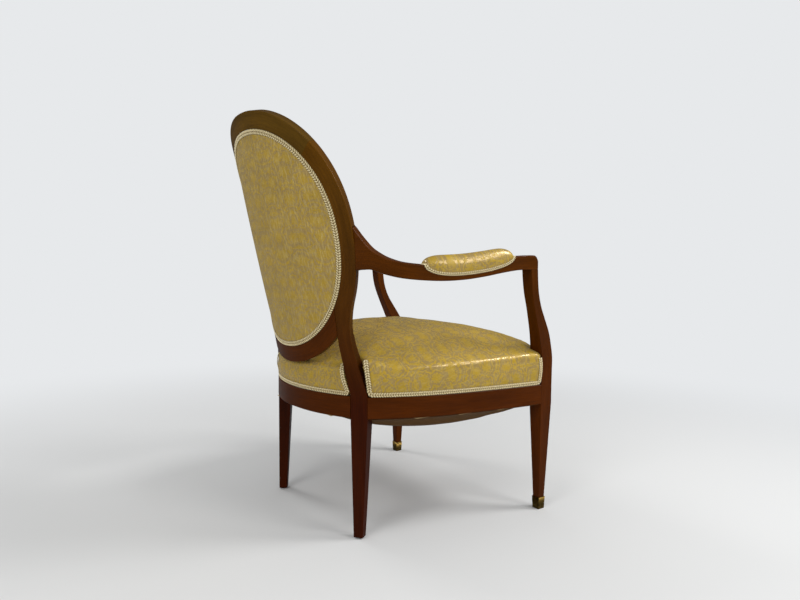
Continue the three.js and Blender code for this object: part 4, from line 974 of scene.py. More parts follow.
def seat_plan(steps):
    """The rails' outer line followed anticlockwise with its corners: plan points and ways outwards."""
    corner = np.array([front_x + post_size / 2, front_y - post_size / 2])
    across = np.linspace(0, 1, steps)
    front, front_way = front_course[0](across)
    side, side_way = side_course[0](across)
    rear, rear_way = rear_course[0](across)
    points = [front, corner[None], side, rear, (side * flip)[::-1], (corner * flip)[None]]
    ways = [outwards(front_way), unit(corner)[None], outwards(side_way), outwards(rear_way)]
    ways += [(outwards(side_way) * flip)[::-1], unit(corner * flip)[None]]
    return np.concatenate(points), np.concatenate(ways)


plan_points, plan_ways = seat_plan(40)
from_middle = unit(plan_points - np.array([0, middle_y]))


def seat_rings(inset, height, share):
    """Closed lines inside the seat's plan: inset from it, raised above the rails' top, and drawn in
    towards the middle by a share."""
    facing = (from_middle * plan_ways).sum(axis=-1)
    rim = plan_points - from_middle * (np.asarray(inset)[:, None, None] / facing[:, None])
    centre = np.array([0, middle_y])
    plan = centre + (rim - centre) * np.asarray(share)[:, None, None]
    rise = rail_top + np.broadcast_to(np.asarray(height)[:, None, None], (*plan.shape[:2], 1))
    return np.concatenate([plan, rise], axis=-1)


def cloth_solid(name, rings, thickness):
    """A sheet through closed rings of points, filled at its middle, given its thickness upwards."""
    lower = rings - np.array([0, 0, thickness])
    return skin(name, np.concatenate([rings[::-1], lower]))


step = np.concatenate([[0], np.linspace(0.02, 1, 12)])
run, rise = through(hessian_rows, step).T
hem = pad_setback + pad_lip + fit
inset = np.concatenate([[hem], rail_thickness + hessian_run * run, np.full(12, rail_thickness + hessian_run)])
height = np.concatenate([[0], hessian_rise * rise, np.full(12, hessian_rise)]) + fit + hessian_thickness
share = np.concatenate([np.ones(len(step) + 1), np.linspace(0.92, 0.02, 12)])
hessian_cloth = woven_jute("hessian", "#b89d70", "#755c38", 0.0019)
seat_hessian = cloth_solid("seat_hessian_cloth", seat_rings(inset, height, share), hessian_thickness)


# The upholstery is cut away round the posts, with a little room, by solids that are then removed.
room, past, below = 0.0004, 0.03, 0.07
notch_low = leg_height - below
support_top = slice(2, 30)
z = np.concatenate([[notch_low, leg_height], post_height[support_top]])
x = np.concatenate([[front_x, front_x], post_x[support_top]])
y = np.concatenate([[front_y, front_y], post_y[support_top]])
w = np.concatenate([[post_size, post_size], post_width[support_top]]) / 2
d = np.concatenate([[post_size, post_size], post_depth[support_top]]) / 2
inner, outer, rear, front = x - w - room, x + w + past, y + d + room, y - d - past
corners = np.stack([inner, front, z, outer, front, z, outer, rear, z, inner, rear, z], axis=-1)
front_notch = corners.reshape(-1, 4, 3)
stile = lower_part[0][3:]
stile_side, stile_deep = unit(stile[:, 0] - stile[:, 2]), unit(stile[:, 5] - stile[:, 0])
away = -stile_deep * past
notch = np.stack(
    [
        stile[:, 0] + stile_side * room + away,
        stile[:, 2] - stile_side * room + away,
        stile[:, 3] - stile_side * room + stile_deep * room,
        stile[:, 5] + stile_side * room + stile_deep * room,
    ],
    axis=1,
)
widening = ((stile[:, 0] - stile[0, 0])[:, :2] * side_course[0](1.0)[1]).sum(axis=1) * (1 - tuck_share)
widening = np.column_stack([widening[:, None] * side_course[0](1.0)[1], 0 * widening])
notch[:, 0] -= widening
notch[:, 3] -= widening / 2
foot = notch[:1] * np.array([1, 1, 0]) + np.array([0, 0, notch_low])
rear_notch = np.concatenate([foot, notch])
cutters = [
    skin(name, points)
    for name, points in (
        ("cut_front_left", front_notch),
        ("cut_front_right", mirrored(front_notch)),
        ("cut_rear_left", rear_notch),
        ("cut_rear_right", mirrored(rear_notch)),
    )
]
carved(seat_hessian, cutters)
settle(seat_hessian, hessian_cloth, "jute", "seat_hessian")

# Seat pad
# Horsehair and felt under a cover of gold damask, pulled down over a firm rolled edge and tacked to
# the rails. It is highest behind its middle and is cut in round the posts, with a few soft pleats.
pad_crown, pad_front_lift, crown_power = 0.140, 0.014, 2.5
pleat_depth, slack_depth, roll_height = 0.0011, 0.0006, 0.0022
pad_stile_lift, stile_lift_reach = 0.018, 0.035  # the pad's side is fuller beside the rear posts
pad_side_shares = np.array([[0, 0], [0.5, 0.18], [1.6, 0.5], [1.3, 0.74], [0, 0.92], [-2.0, 1.02]])
gimp_thickness = 0.002
pad_floor, pad_rim = 0.0223, 0.0246
back_pad_crown = 0.046
back_gimp_width, seat_gimp_width = 0.011, 0.010
rim_inset = frame_face + fit
flat_share = 1 - back_gimp_width / (oval_width - rim_inset)
back_pad_shares = np.array([
    [0, 1], [0.35, 0.95], [0.65, 0.76], [0.85, 0.47], [0.95, 0.26], [0.985, 0.12], [1, 0]
])


def hump(way, middle, width):
    """1 at a middle, and less away from it by a bell curve of a width."""
    return np.exp(-(((way - middle) / width) ** 2))


def ramp(way, start, over):
    """0 as far as a start, and from there up to 1 over a distance."""
    return np.clip((way - start) / over, 0, 1)


def ahead_share(y):
    """How far forwards a place lies, from 0 at the rear posts to 1 at the front ones."""
    return np.clip((rear_face[1] - y) / (rear_face[1] - front_y), 0, 1)


def edge_lift(places):
    """How much higher than elsewhere the pad's side is, towards the front and beside the stiles."""
    beside = np.hypot(np.abs(places[..., 0]) - side_rear[0], places[..., 1] - side_rear[1])
    ahead = pad_front_lift * ahead_share(places[..., 1])
    return ahead + pad_stile_lift * hump(beside, 0, stile_lift_reach)


def oval_rings(inset, share, depth):
    """Closed lines round the back: shares of the way out to an inset oval, each at a depth."""
    u, v = oval(full_turn(160), inset)
    share, depth = np.asarray(share)[:, None], np.asarray(depth)[:, None]
    rings = back_point(u * share, v * share, depth + 0 * u * share)
    return rings, np.stack([u * share, v * share, 0 * u * share], axis=-1)


repeat_width = 0.112
flower_size, sickle_size = 0.042, 0.0150  # spacing of the flowers and of the sickle leaves
thread = 0.0007  # over which a motif's edge fades
petal_reach, petal_depth, eye_reach = 0.0076, 0.0056, 0.0048
petals, saw_teeth = 9, 8
vein_half, vein_edge = 0.0014, 0.0008
wreath_start, wreath_pitch = 0.0096, 0.0088
sickle_reach, hollow_reach, hollow_shift, flower_room = 0.0058, 0.0036, 0.0028, 0.0155


def gold_damask(name, contrast, satin, brushed):
    """Silk damask: flowers, wreaths of saw-edged leaves and small sickle leaves, woven dull and
    mustard in a satin ground of pinkish gold. The ground is glossier and shines where light strikes."""
    material, add = new_material(name)
    place = add("Attribute", attribute_name="cloth")["Vector"]

    def mottled(scale, detail, turned=0.0, vector=place):
        """Noise on the cloth, drawn out by a scale each way, and turned."""
        drawn = add("Mapping", {"Vector": vector, "Rotation": (0, 0, turned), "Scale": scale})
        return add("TexNoise", {"Vector": drawn["Vector"], "Scale": 1.0, "Detail": detail})

    # The weave is mirrored in every column, and the leaves waver a little.
    split = add("SeparateXYZ", {"Vector": place})
    folded = add("Math PINGPONG", split["X"], repeat_width / 2)
    folded = add("CombineXYZ", {"X": folded, "Y": split["Y"]})
    wander = mottled((110, 110, 110), 4.0, vector=folded)["Color"]
    drawn = add("VectorMath MULTIPLY_ADD", wander, (0.014, 0.014, 0), folded)

    def length(x, y):
        """How long a way is, from its two parts."""
        return add("Math SQRT", add("Math MULTIPLY_ADD", x, x, add("Math POWER", y, 2.0)))

    def motif(size, stray):
        """The nearest of many scattered centres: how far it is, the turn to it, and its own number."""
        inputs = {"Vector": drawn, "Scale": 1 / size, "Randomness": stray}
        centre = add("TexVoronoi", inputs, voronoi_dimensions="2D")
        away = add("VectorMath SUBTRACT", drawn, centre["Position"])
        parts = add("SeparateXYZ", {"Vector": away["Vector"]})
        number = add("SeparateColor", {"Color": centre["Color"]})["Red"]
        return length(parts["X"], parts["Y"]), add("Math ARCTAN2", parts["X"], parts["Y"]), number

    def inside(reach, far):
        """Rises from 0 to 1 within a thread or two of the line where the distance is the reach."""
        return add("Math MULTIPLY", add("Math SUBTRACT", reach, far), 1 / thread)

    far, turn, number = motif(flower_size, 0.5)
    lobe = add("Math ABSOLUTE", add("Math COSINE", add("Math MULTIPLY", turn, petals / 2)))
    flower = inside(add("Math MULTIPLY_ADD", lobe, petal_depth, petal_reach), far)
    vein = add("Math ABSOLUTE", add("Math SINE", add("Math MULTIPLY", turn, petals)))
    vein = add("Math MULTIPLY", add("Math MULTIPLY_ADD", vein, far, -vein_half), 1 / vein_edge)
    eye = inside(eye_reach, far)
    flower = add("Math MINIMUM", flower, add("Math MAXIMUM", vein, eye))
    phase = add("Math MULTIPLY_ADD", turn, 1 / math.pi, add("Math DIVIDE", far, wreath_pitch))
    phase = add("Math ADD", phase, add("Math MULTIPLY", number, 7.0))
    band = add("Math ABSOLUTE", add("Math SUBTRACT", add("Math FRACT", phase), 0.5))
    saw = add("Math MULTIPLY_ADD", far, 700.0, add("Math MULTIPLY", turn, saw_teeth))
    saw = add("Math ABSOLUTE", add("Math SINE", saw))
    wreath = add("Math SUBTRACT", add("Math MULTIPLY_ADD", saw, 0.15, 0.09), band)
    wreath = add("Math MULTIPLY", wreath, wreath_pitch / thread)
    start = add("Math MULTIPLY_ADD", lobe, petal_depth, wreath_start)
    wreath = add("Math MINIMUM", wreath, inside(far, start))
    near, way, other = motif(sickle_size, 0.9)
    way = add("Math MULTIPLY_ADD", other, 6.3, way)
    hollow_x = add("Math SUBTRACT", add("Math MULTIPLY", near, add("Math COSINE", way)), hollow_shift)
    hollow_y = add("Math MULTIPLY", near, add("Math SINE", way))
    sickle = inside(length(hollow_x, hollow_y), hollow_reach)
    sickle = add("Math MINIMUM", inside(sickle_reach, near), sickle)
    sickle = add("Math MINIMUM", sickle, inside(far, flower_room))
    figure = add("Math MAXIMUM", flower, add("Math MAXIMUM", wreath, sickle))
    figure = add("Clamp", {"Value": figure})

    # The threads are too fine to show, so their streaks are drawn a few times as coarse.
    streak = mottled((1000, 140, 900), 2.0, turned=math.radians(38))["Fac"]
    first = mottled((300, 48, 300), 1.0, turned=math.radians(24))["Fac"]
    second = mottled((300, 48, 300), 1.0, turned=math.radians(-30))["Fac"]
    strokes = add("Math MULTIPLY_ADD", add("Math MAXIMUM", first, second), 6.0, -3.2)
    strokes = add("Clamp", {"Value": strokes})
    warp = mottled((1100, 90, 900), 1.0)["Fac"]
    wear_and_painted_light = mottled((14, 14, 14), 3.0)["Fac"]
    ground = add("Mix", {"Factor": warp, "A": linear("#947942"), "B": linear("#bda164")}, data_type="RGBA")
    leaf = add("Mix", {"Factor": streak, "A": linear("#967906"), "B": linear("#cfa91e")}, data_type="RGBA")
    drawing = add("Math MULTIPLY", figure, contrast)
    tone = add("Mix", {"Factor": drawing, "A": ground, "B": leaf}, data_type="RGBA")
    brushing = add("Math MULTIPLY", strokes, brushed)
    tone = add("Mix", {"Factor": brushing, "A": tone, "B": linear("#cbb573")}, data_type="RGBA")
    dulling = add("MapRange", wear_and_painted_light, 0.3, 0.7, 0.92, 1.06)
    tone = add("VectorMath SCALE", {0: tone, "Scale": dulling})
    rough = add("Math MULTIPLY_ADD", figure, 0.24, satin)
    relief = add("Math MULTIPLY_ADD", figure, 0.5, add("Math MULTIPLY", streak, 0.5))
    relief = add("Bump", {"Height": relief, "Strength": 0.3, "Distance": 0.0005})
    shine = add("Math MULTIPLY_ADD", figure, -0.12, 0.2)
    shader = add("BsdfPrincipled", {
        "Base Color": tone,
        "Roughness": rough,
        "Normal": relief,
        "Metallic": shine,
        "Specular IOR Level": 0.4,
        "Sheen Weight": 0.04,
        "Sheen Roughness": 0.4,
    })
    add("OutputMaterial", {"Surface": shader})
    return material


seat_damask = gold_damask("silk_damask_of_the_seat", 0.9, 0.24, 0.3)

# Rings of points over the top, down the side, and below where the hessian rises and where it is level.
crown_steps, side_steps, rise_steps, level_steps = 34, 22, 8, 10
side_height = np.linspace(0, 1.02, side_steps)
swell = through(pad_side_shares[:, ::-1], side_height)[:, 0]
side_inset, side_rise = pad_setback - pad_bulge * swell, pad_edge * side_height
crown_share = np.linspace(0.985, 0.02, crown_steps)
crown_rise = pad_crown + (side_rise[-1] - pad_crown) * crown_share**crown_power
rest = hessian_thickness + 2 * fit
under_step = np.linspace(0, 1, rise_steps)
under_run, under_rise = through(hessian_rows, under_step).T
inset = np.concatenate([
    np.full(crown_steps, side_inset[-1]),
    side_inset[::-1],
    [hem - fit, hem - fit],
    rail_thickness + hessian_run * under_run,
    np.full(level_steps, rail_thickness + hessian_run),
])
height = np.concatenate([
    crown_rise[::-1] + fit,
    side_rise[::-1] + fit,
    [fit, rest],
    rest + hessian_rise * under_rise,
    np.full(level_steps, rest + hessian_rise),
])
upright_rings, level_share = np.ones(side_steps + 2 + rise_steps), np.linspace(0.9, 0.03, level_steps)
share = np.concatenate([crown_share[::-1], upright_rings, level_share])
unlifted = np.zeros(2 + rise_steps + level_steps)
lift = np.concatenate([crown_share[::-1] ** crown_power, side_height[::-1], unlifted])
rings = seat_rings(inset, height, share)
rings[..., 2] += edge_lift(rings) * lift[:, None]
seat_pad = skin("seat_pad_cover", rings)
face = pad_rim + gimp_thickness + 2 * fit
step = np.concatenate([np.linspace(0.03, 0.9, 12), [0.95, 0.985, 1.0]])
crown = face + back_pad_crown * through(back_pad_shares, step)[:, 0]
behind = oval_rings(-fit, [*step, 1.0, 0.03], [*crown, -0.02, -0.02])[0]
cutters.append(skin("cut_back", behind))
carved(seat_pad, cutters)
for cutter in cutters:
    bpy.data.objects.remove(cutter)


def remeshed(piece, voxel, smooth_steps):
    """Replace a mesh by an even net of quads at a spacing, evened out a little."""
    net = piece.modifiers.new("even_net", "REMESH")
    net.mode, net.voxel_size, net.use_smooth_shade = "VOXEL", voxel, True
    soft = piece.modifiers.new("evened_out", "SMOOTH")
    soft.factor, soft.iterations = 0.5, smooth_steps
    finished(piece)


def points_of(piece, what="co"):
    """The points of a mesh, or the unit normals at them, as an array."""
    flat = np.empty(len(piece.data.vertices) * 3)
    piece.data.vertices.foreach_get(what, flat)
    return flat.reshape(-1, 3)


def move_points(piece, points):
    """Put changed points back into a mesh."""
    piece.data.vertices.foreach_set("co", points.reshape(-1))
    piece.data.update()


net_size = 0.006
gimp_hold, gimp_release = 0.009, 0.03  # how near the gimp a cover is held, and the way to free it


def freed(points, gimp):
    """How free each point of a cover is, from 0 at the gimp's nearest point to 1 well away."""
    parts = np.array_split(gimp, 12)
    far = [np.linalg.norm(points[:, None] - part, axis=-1).min(axis=1) for part in parts]
    return ramp(np.min(far, axis=0), gimp_hold, gimp_release)


stuffing_pressure, stuffing_frames, cover_stiffness = 4, 20, 18


def stuffed(piece, most, freedom):
    """Blow a cover up from inside by a cloth simulation without gravity, and let each point go no
    further than its freedom times the most."""
    before = points_of(piece)
    cloth = piece.modifiers.new("stuffing", "CLOTH")
    cloth.settings.use_pressure = True
    cloth.settings.uniform_pressure_force = stuffing_pressure
    cloth.settings.tension_stiffness = cloth.settings.compression_stiffness = cover_stiffness
    cloth.settings.effector_weights.gravity = 0
    cloth.point_cache.frame_end = stuffing_frames
    scene = bpy.context.scene
    for frame_number in range(1, stuffing_frames + 1):
        scene.frame_set(frame_number)
    finished(piece)
    moved = points_of(piece) - before
    far = np.linalg.norm(moved, axis=1, keepdims=True)
    limit = most * freedom[:, None]
    move_points(piece, before + moved * np.minimum(1, limit / np.maximum(far, 1e-9)))
    scene.frame_set(1)


def rounded_net(piece):
    """One level of subdivision, in the mesh."""
    more = piece.modifiers.new("fine_net", "SUBSURF")
    more.levels = more.render_levels = 1
    finished(piece)
    smoothed(piece.data)


def cloth_places(piece, places):
    """Store each point's place on the woven cloth, in metres, for the pattern to follow."""
    layer = piece.data.attributes.new("cloth", "FLOAT_VECTOR", "POINT")
    layer.data.foreach_set("vector", places.reshape(-1).astype(np.float32))


# Seat gimp: where it lies along each rail, as runs from a post and rises above the rail. It goes
# up beside the posts, leaning with the stiles at the rear.
gimp_bend, rear_tuck_share = 0.006, 1.15
front_gimp_rise, side_gimp_rise, rear_gimp_rise = 0.064, 0.077, 0.066


def upright(rise):
    """How far a post that stands straight has leant over its rail at a rise: nothing."""
    return 0 * rise


def leaning(edge, heading):
    """How far the stile's edge, given as points, has leant over a rail at each rise above it."""
    lean = ((edge - edge[0])[:, :2] * heading).sum(axis=1)
    return lambda rise: np.interp(rise, edge[:, 2] - rail_top, lean)


def gimp_way(length, tops, leans):
    """The middle line of the gimp on a rail's face, and the way across it: runs and rises. Each end
    follows the post beside it by its own lean."""
    half = seat_gimp_width / 2
    low = half + fit
    quarter = np.linspace(0, np.pi / 2, 7)
    ends = []
    for top, lean in zip(tops, leans):
        straight = np.linspace(top, low + gimp_bend, 24)[:-1]
        run = np.concatenate([half + fit + 0 * straight, half + fit + gimp_bend * (1 - np.cos(quarter))])
        rise = np.concatenate([straight, low + gimp_bend * (1 - np.sin(quarter))])
        ends.append((run + lean(rise), rise))
    (run, rise), (last_run, last_rise) = ends
    middle = np.linspace(run[-1], length - last_run[-1], 100)[1:-1]
    runs = np.concatenate([run, middle, length - last_run[::-1]])
    rises = np.concatenate([rise, np.full(98, low), last_rise[::-1]])
    ahead = np.stack([np.gradient(runs), np.gradient(rises)])
    return runs, rises, np.stack([-ahead[1], ahead[0]]) / np.hypot(*ahead)


def gimp_places(walk, length, runs, rises):
    """Points of the pad's side over a rail's face line, at runs and rises, and the way out there."""
    point, heading = walk(runs / length)
    out = outwards(heading)
    share = np.clip(rises / (pad_edge + edge_lift(point)), 0, 1.02)
    inset = pad_setback - pad_bulge * through(pad_side_shares[:, ::-1], share)
    return np.column_stack([point - out * inset, rail_top + fit + rises]), np.column_stack([out, 0 * runs])


over_rear = leaning(stile[:, 2], rear_course[0](0.0)[1] * rear_tuck_share)
over_side = leaning(stile[:, 0], -side_course[0](1.0)[1] * tuck_share)
gimp_ways = {
    "side": (side_course, gimp_way(side_course[1], (front_gimp_rise, side_gimp_rise), (upright, over_side))),
    "rear": (rear_course, gimp_way(rear_course[1], (rear_gimp_rise,) * 2, (over_rear,) * 2)),
    "front": (front_course, gimp_way(front_course[1], (front_gimp_rise,) * 2, (upright,) * 2)),
}
gimp_lines = np.concatenate(
    [gimp_places(*line, runs, rises)[0] for line, (runs, rises, cross) in gimp_ways.values()]
)
gimp_lines = np.concatenate([gimp_lines, mirrored(gimp_lines)])

remeshed(seat_pad, net_size, 6)
points = points_of(seat_pad)
stuffed(seat_pad, 0.003, freed(points, gimp_lines) * ramp(points[:, 2] - rail_top, 0.012, 0.02))
rounded_net(seat_pad)
points, normals = points_of(seat_pad), points_of(seat_pad, "normal")
height = points[:, 2] - rail_top
upper = ramp(height, 0.014, 0.02)
slack = np.sin(points[:, 0] * 61 + 1.3) * np.sin(points[:, 1] * 47)
slack += np.sin(points[:, 0] * 23 - points[:, 1] * 31)
beside = np.hypot(np.abs(points[:, 0]) - rear_corner[0], points[:, 1] - rear_corner[1]) - over_rear(height)
rear_side = np.clip(normals[:, 1] * 3 - 0.6, 0, 1) * (np.abs(points[:, 0]) < rear_corner[0])
pulled = np.sin(beside * 560) * hump(beside, 0.026, 0.012) * rear_side
pulled *= hump(height, 0.03, 0.02)
past_edge = height - pad_edge - edge_lift(points)
roll = hump(past_edge, -0.003, 0.007) - 0.8 * hump(past_edge, 0.016, 0.010)
moved = pleat_depth * pulled + (slack_depth * slack + roll_height * roll) * upper
move_points(seat_pad, points + normals * moved[:, None])
level_way = unit(normals[:, :2] + 1e-9)
drop = np.maximum(0, pad_edge * 0.94 - height)[:, None]
cloth_places(seat_pad, np.column_stack([points[:, :2] + level_way * drop, 0 * height]))
settle(seat_pad, seat_damask, "damask", "seat_pad")

# Gimp
# A flat braid, glued over the covers' raw edges: two rows of slanted silk stitches that meet in
# its middle like a herringbone, over a darker band. The same braid goes round back and arm pads.
stitch_pitch = 0.0053
stitch_height, band_step = 0.0015, 0.004
gimp_lift = 0.0004


def braid_material():
    """Matt silk cord: cream and gold strands over a darker band, whose dark is partly its own colour and
    partly painted shade down between the strands.
    """
    material, add = new_material("herringbone_silk_braid")
    raised = add("Attribute", attribute_name="raised")["Fac"]
    place = add("TexCoord")["Object"]
    strand = add("TexNoise", {"Vector": place, "Scale": 420.0, "Detail": 2.0})["Fac"]
    tint = add("Mix", {"Factor": strand, "A": linear("#d6c083"), "B": linear("#f1e4bc")}, data_type="RGBA")
    # Painted shade: where the stitches dip towards the band they are painted darker.
    tone = add("Mix", {"Factor": raised, "A": linear("#7e6630"), "B": tint}, data_type="RGBA")
    fibre = add("TexNoise", {"Vector": place, "Scale": 2200.0, "Detail": 2.0})["Fac"]
    relief = add("Bump", {"Height": fibre, "Strength": 0.4, "Distance": 0.0003})
    shader = add("BsdfPrincipled", {
        "Base Color": tone, "Roughness": 0.55, "Normal": relief, "Sheen Weight": 0.3
    })
    add("OutputMaterial", {"Surface": shader})
    return material


braid = braid_material()


def braid_rings(line, across, out, width, closed):
    """The braid's band and stitches along a line. The band has a crowned section. Each stitch is a
    slim pod that runs slantwise from an edge to the middle, thickest half way."""
    if closed:
        line, across, out = (np.concatenate([part, part[:1]]) for part in (line, across, out))
    run = run_of(line)

    def place(s, a, h):
        """The point at a run along the line, so far across it and so high over it."""
        sideways, upwards = read_at(across, run, s) * a[..., None], read_at(out, run, s) * h[..., None]
        return read_at(line, run, s) + sideways + upwards

    count = max(2, round(run[-1] / band_step))
    s = np.linspace(0, run[-1], count, endpoint=not closed)[:, None]
    a = width * np.array([-0.5, -0.5, -0.25, 0, 0.25, 0.5, 0.5])
    h = np.array([-0.0002, 0.0004, 0.0003, 0.0002, 0.0003, 0.0004, -0.0002])
    band = place(s + 0 * a, a + 0 * s, h + 0 * s)
    stitches = round(run[-1] / stitch_pitch)
    pitch = run[-1] / stitches
    centre = (np.arange(stitches) + 0.5) * pitch
    along = np.array([0, 0.18, 0.5, 0.82, 1])
    girth = np.array([0.4, 0.85, 1, 0.85, 0.4])
    section = full_turn(6)
    slant = pitch * 0.8
    pods = []
    for row in (-1, 1):
        reach = width * (0.48 - 0.46 * along)
        round_it = girth[:, None] * pitch * 0.29 * np.cos(section)
        run_at = centre[:, None, None] + (slant * (along - 0.5))[:, None] + round_it
        side_at = row * (reach[:, None] + girth[:, None] * pitch * 0.12 * np.cos(section))
        rise_at = 0.0004 + girth[:, None] * (stitch_height * 0.75) * np.sin(section)
        shape = (stitches, len(along), len(section))
        inside = np.clip(run_at, 0, run[-1])
        pods.append(place(inside, np.broadcast_to(side_at, shape), np.broadcast_to(rise_at, shape)))
    return band, np.concatenate(pods)


def braided(node, line, across, out, width, closed=True):
    """One length of gimp as a piece, in the place of its node."""
    band, pods = braid_rings(line, across, out, width, closed)
    base = skin(f"{node}_braid", band, hoop=closed)
    count, stations, sides = pods.shape[:3]
    each = np.arange(stations * sides).reshape(stations, sides)
    ahead = np.roll(each, -1, axis=1)
    quads = np.stack([each[:-1], ahead[:-1], ahead[1:], each[1:]], axis=-1).reshape(-1, 4)
    caps = np.stack([each[0, ::-1], each[-1]])
    start = np.arange(count)[:, None, None] * stations * sides
    stitched = bpy.data.meshes.new("stitches")
    faces = (quads + start).reshape(-1, 4).tolist() + (caps + start).reshape(-1, sides).tolist()
    stitched.from_pydata(pods.reshape(-1, 3).tolist(), [], faces)
    whole = bmesh.new()
    whole.from_mesh(base.data)
    low = len(whole.verts)
    whole.from_mesh(stitched)
    bmesh.ops.recalc_face_normals(whole, faces=whole.faces)
    whole.to_mesh(base.data)
    whole.free()
    bpy.data.meshes.remove(stitched)
    # The raised share darkens each stitch towards its ends, where it dips into the band, as painted shade.
    raised = np.zeros(len(base.data.vertices))
    raised[low:] = np.tile(np.repeat([0.55, 0.9, 1, 0.9, 0.55], sides), count)
    base.data.attributes.new("raised", "FLOAT", "POINT").data.foreach_set("value", raised)
    smoothed(base.data)
    settle(base, braid, "gimp", node)


for name, ((walk, length), (runs, rises, cross)) in gimp_ways.items():
    half = seat_gimp_width / 2
    inner = gimp_places(walk, length, runs - cross[0] * half, rises - cross[1] * half)[0]
    outer = gimp_places(walk, length, runs + cross[0] * half, rises + cross[1] * half)[0]
    centre, way = gimp_places(walk, length, runs, rises)
    centre = centre + way * gimp_lift
    across = unit(outer - inner)
    along = unit(np.gradient(centre, axis=0))
    out = unit(np.cross(across, along))
    out *= np.sign((out * way).sum(axis=1, keepdims=True))
    if name == "side":
        braided("seat_gimp_left", centre, across, out, seat_gimp_width, closed=False)
        other = (mirrored(part) for part in (centre, across, out))
        braided("seat_gimp_right", *other, seat_gimp_width, closed=False)
    else:
        braided(f"seat_gimp_{name}", centre, across, out, seat_gimp_width, closed=False)

# Outside back
# A cover of the same damask over thin wadding, tacked in the oval's rear face and swelling a little.
back_dome = 0.006
rear_cover = 0.0006  # depth of the outside back's rim behind the frame's rear face
lining_depth = 0.0014
back_damask = gold_damask("silk_damask_of_the_back", 0.75, 0.42, 0.5)
swell_shares = np.array([[0, 1], [0.45, 0.82], [0.8, 0.38], [1, 0]])
step = np.linspace(0.012, 1, 60)
rise = through(swell_shares, step)[:, 0]
step = [*(step * flat_share), 1.0]
rear_lining = rear_cover + lining_depth
cover, cover_places = oval_rings(rim_inset, step, [*(rear_cover - back_dome * rise), rear_cover])
lining, lining_places = oval_rings(rim_inset, step, [*(rear_lining - back_dome * rise), rear_lining])
outside_back = skin("outside_back_cover", np.concatenate([cover, lining[::-1]]))
cloth_places(outside_back, np.concatenate([cover_places, lining_places[::-1]]))
settle(outside_back, back_damask, "damask", "outside_back")


def oval_line(inset, depth, outward_sign):
    """A line round the oval at an inset and depth, with the ways across it and out of the face."""
    turn = full_turn(360)
    u, v = oval(turn, inset)
    u_in, v_in = oval(turn, inset + 0.001)
    line = back_point(u, v, depth + 0 * u)
    across = unit(back_point(u_in, v_in, depth + 0 * u) - line)
    out = unit(line - back_point(u, v, depth + 0.001 + 0 * u)) * outward_sign
    return line, across, out


gimp_over = 0.0008  # how far the gimp reaches over the frame
gimp_inset = frame_face - gimp_over + back_gimp_width / 2
braided("back_gimp_rear", *oval_line(gimp_inset, rear_cover - fit, 1), back_gimp_width)

# Hessian and pad of the back
# Hessian closes the oval in front. The pad before it is stuffed and covered like the seat.
floor_depth = pad_floor - hessian_thickness - fit
inner_step = np.linspace(0.012, 1, 24)
cloth = np.concatenate([
    oval_rings(rim_inset, inner_step, floor_depth + 0 * inner_step)[0],
    oval_rings(rim_inset, inner_step[::-1], floor_depth + hessian_thickness + 0 * inner_step)[0],
])
back_hessian = skin("back_hessian_cloth", cloth)
settle(back_hessian, hessian_cloth, "jute", "back_hessian")
step = np.linspace(0.012, 1, 70)
rise = through(back_pad_shares, step)[:, 0]
stuffing_rise = 0.004  # how much of the crown is left to the stuffing
crown_depth = pad_rim + (back_pad_crown - stuffing_rise) * rise
back_pad = skin(
    "back_pad_cover",
    oval_rings(rim_inset, [*(step * flat_share), 1.0, *inner_step[::-1]], [
        *crown_depth, pad_rim, *(pad_floor + 0 * inner_step)
    ])[0],
)
front_line_of_gimp = oval_line(gimp_inset, pad_rim, -1)
remeshed(back_pad, net_size, 4)
points = points_of(back_pad)
normals = points_of(back_pad, "normal")
freedom = freed(points, front_line_of_gimp[0]) * (normals[:, 1] < 0.2)
stuffed(back_pad, 0.010, freedom)
rounded_net(back_pad)
points = points_of(back_pad)
turn = np.arctan2(points[:, 0], points[:, 1] - back_y + back_radius)
climb = (points[:, 2] - back_z) / math.cos(back_rake)
cloth_places(back_pad, np.column_stack([turn * back_radius, climb, 0 * climb]))
settle(back_pad, seat_damask, "damask", "back_pad")
braided("back_gimp_front", *front_line_of_gimp, back_gimp_width)

# Arm pads
# Each is a small oval cushion on the arm, its cover drawn down the arm's sides and edged with gimp.
arm_pad_length, arm_pad_middle = 0.216, 0.57
arm_pad_side, arm_pad_half_width, arm_pad_crown = 0.0305, 0.020, 0.0235
arm_pad_fall = math.radians(120)
arm_pad_power, pad_swell_power = 0.55, 7
cover_thickness, arm_gimp_width = 0.0023, 0.008


def arm_surface(shares, around, lift):
    """A place on the arm: around runs from the middle of its top, over the edge and down its side."""
    point, out, low, high, width = arm_at(shares)
    past = np.maximum(np.abs(around) - width / 2, 0)
    side = np.sign(around) * (np.minimum(np.abs(around), width / 2) + np.where(past > 0, lift, 0))
    plan = point + out * side[:, None]
    return np.column_stack([plan, high - past + np.where(past > 0, 0, lift)])


def cushion_surface(shares, turn):
    """The cushion's own surface: an oval section standing on the arm."""
    point, out, low, high, width = arm_at(shares)
    foot = arm_pad_side - arm_width / 2
    rise = (arm_pad_crown + foot) / (1 - math.cos(arm_pad_fall))
    plan = point + out * (arm_pad_half_width * np.sin(turn))[:, None]
    return np.column_stack([plan, high + arm_pad_crown + rise * (np.cos(turn) - 1)])


def squarish(value):
    """A value from -1 to 1 pushed outwards, which squares an oval's outline."""
    return np.sign(value) * np.abs(value) ** arm_pad_power


def cushion_ring(reach, extra, lift, swell):
    """A closed line round the cushion at a share of the way out, between the arm and its own oval."""
    turn = full_turn(96)
    half = (arm_pad_length / 2 + extra) / arm_length
    shares = arm_pad_middle + half * reach * squarish(np.cos(turn))
    round_share = reach * squarish(np.sin(turn))
    base = arm_surface(shares, round_share * (arm_pad_side + extra), lift)
    return base + (cushion_surface(shares, round_share * arm_pad_fall) - base) * swell


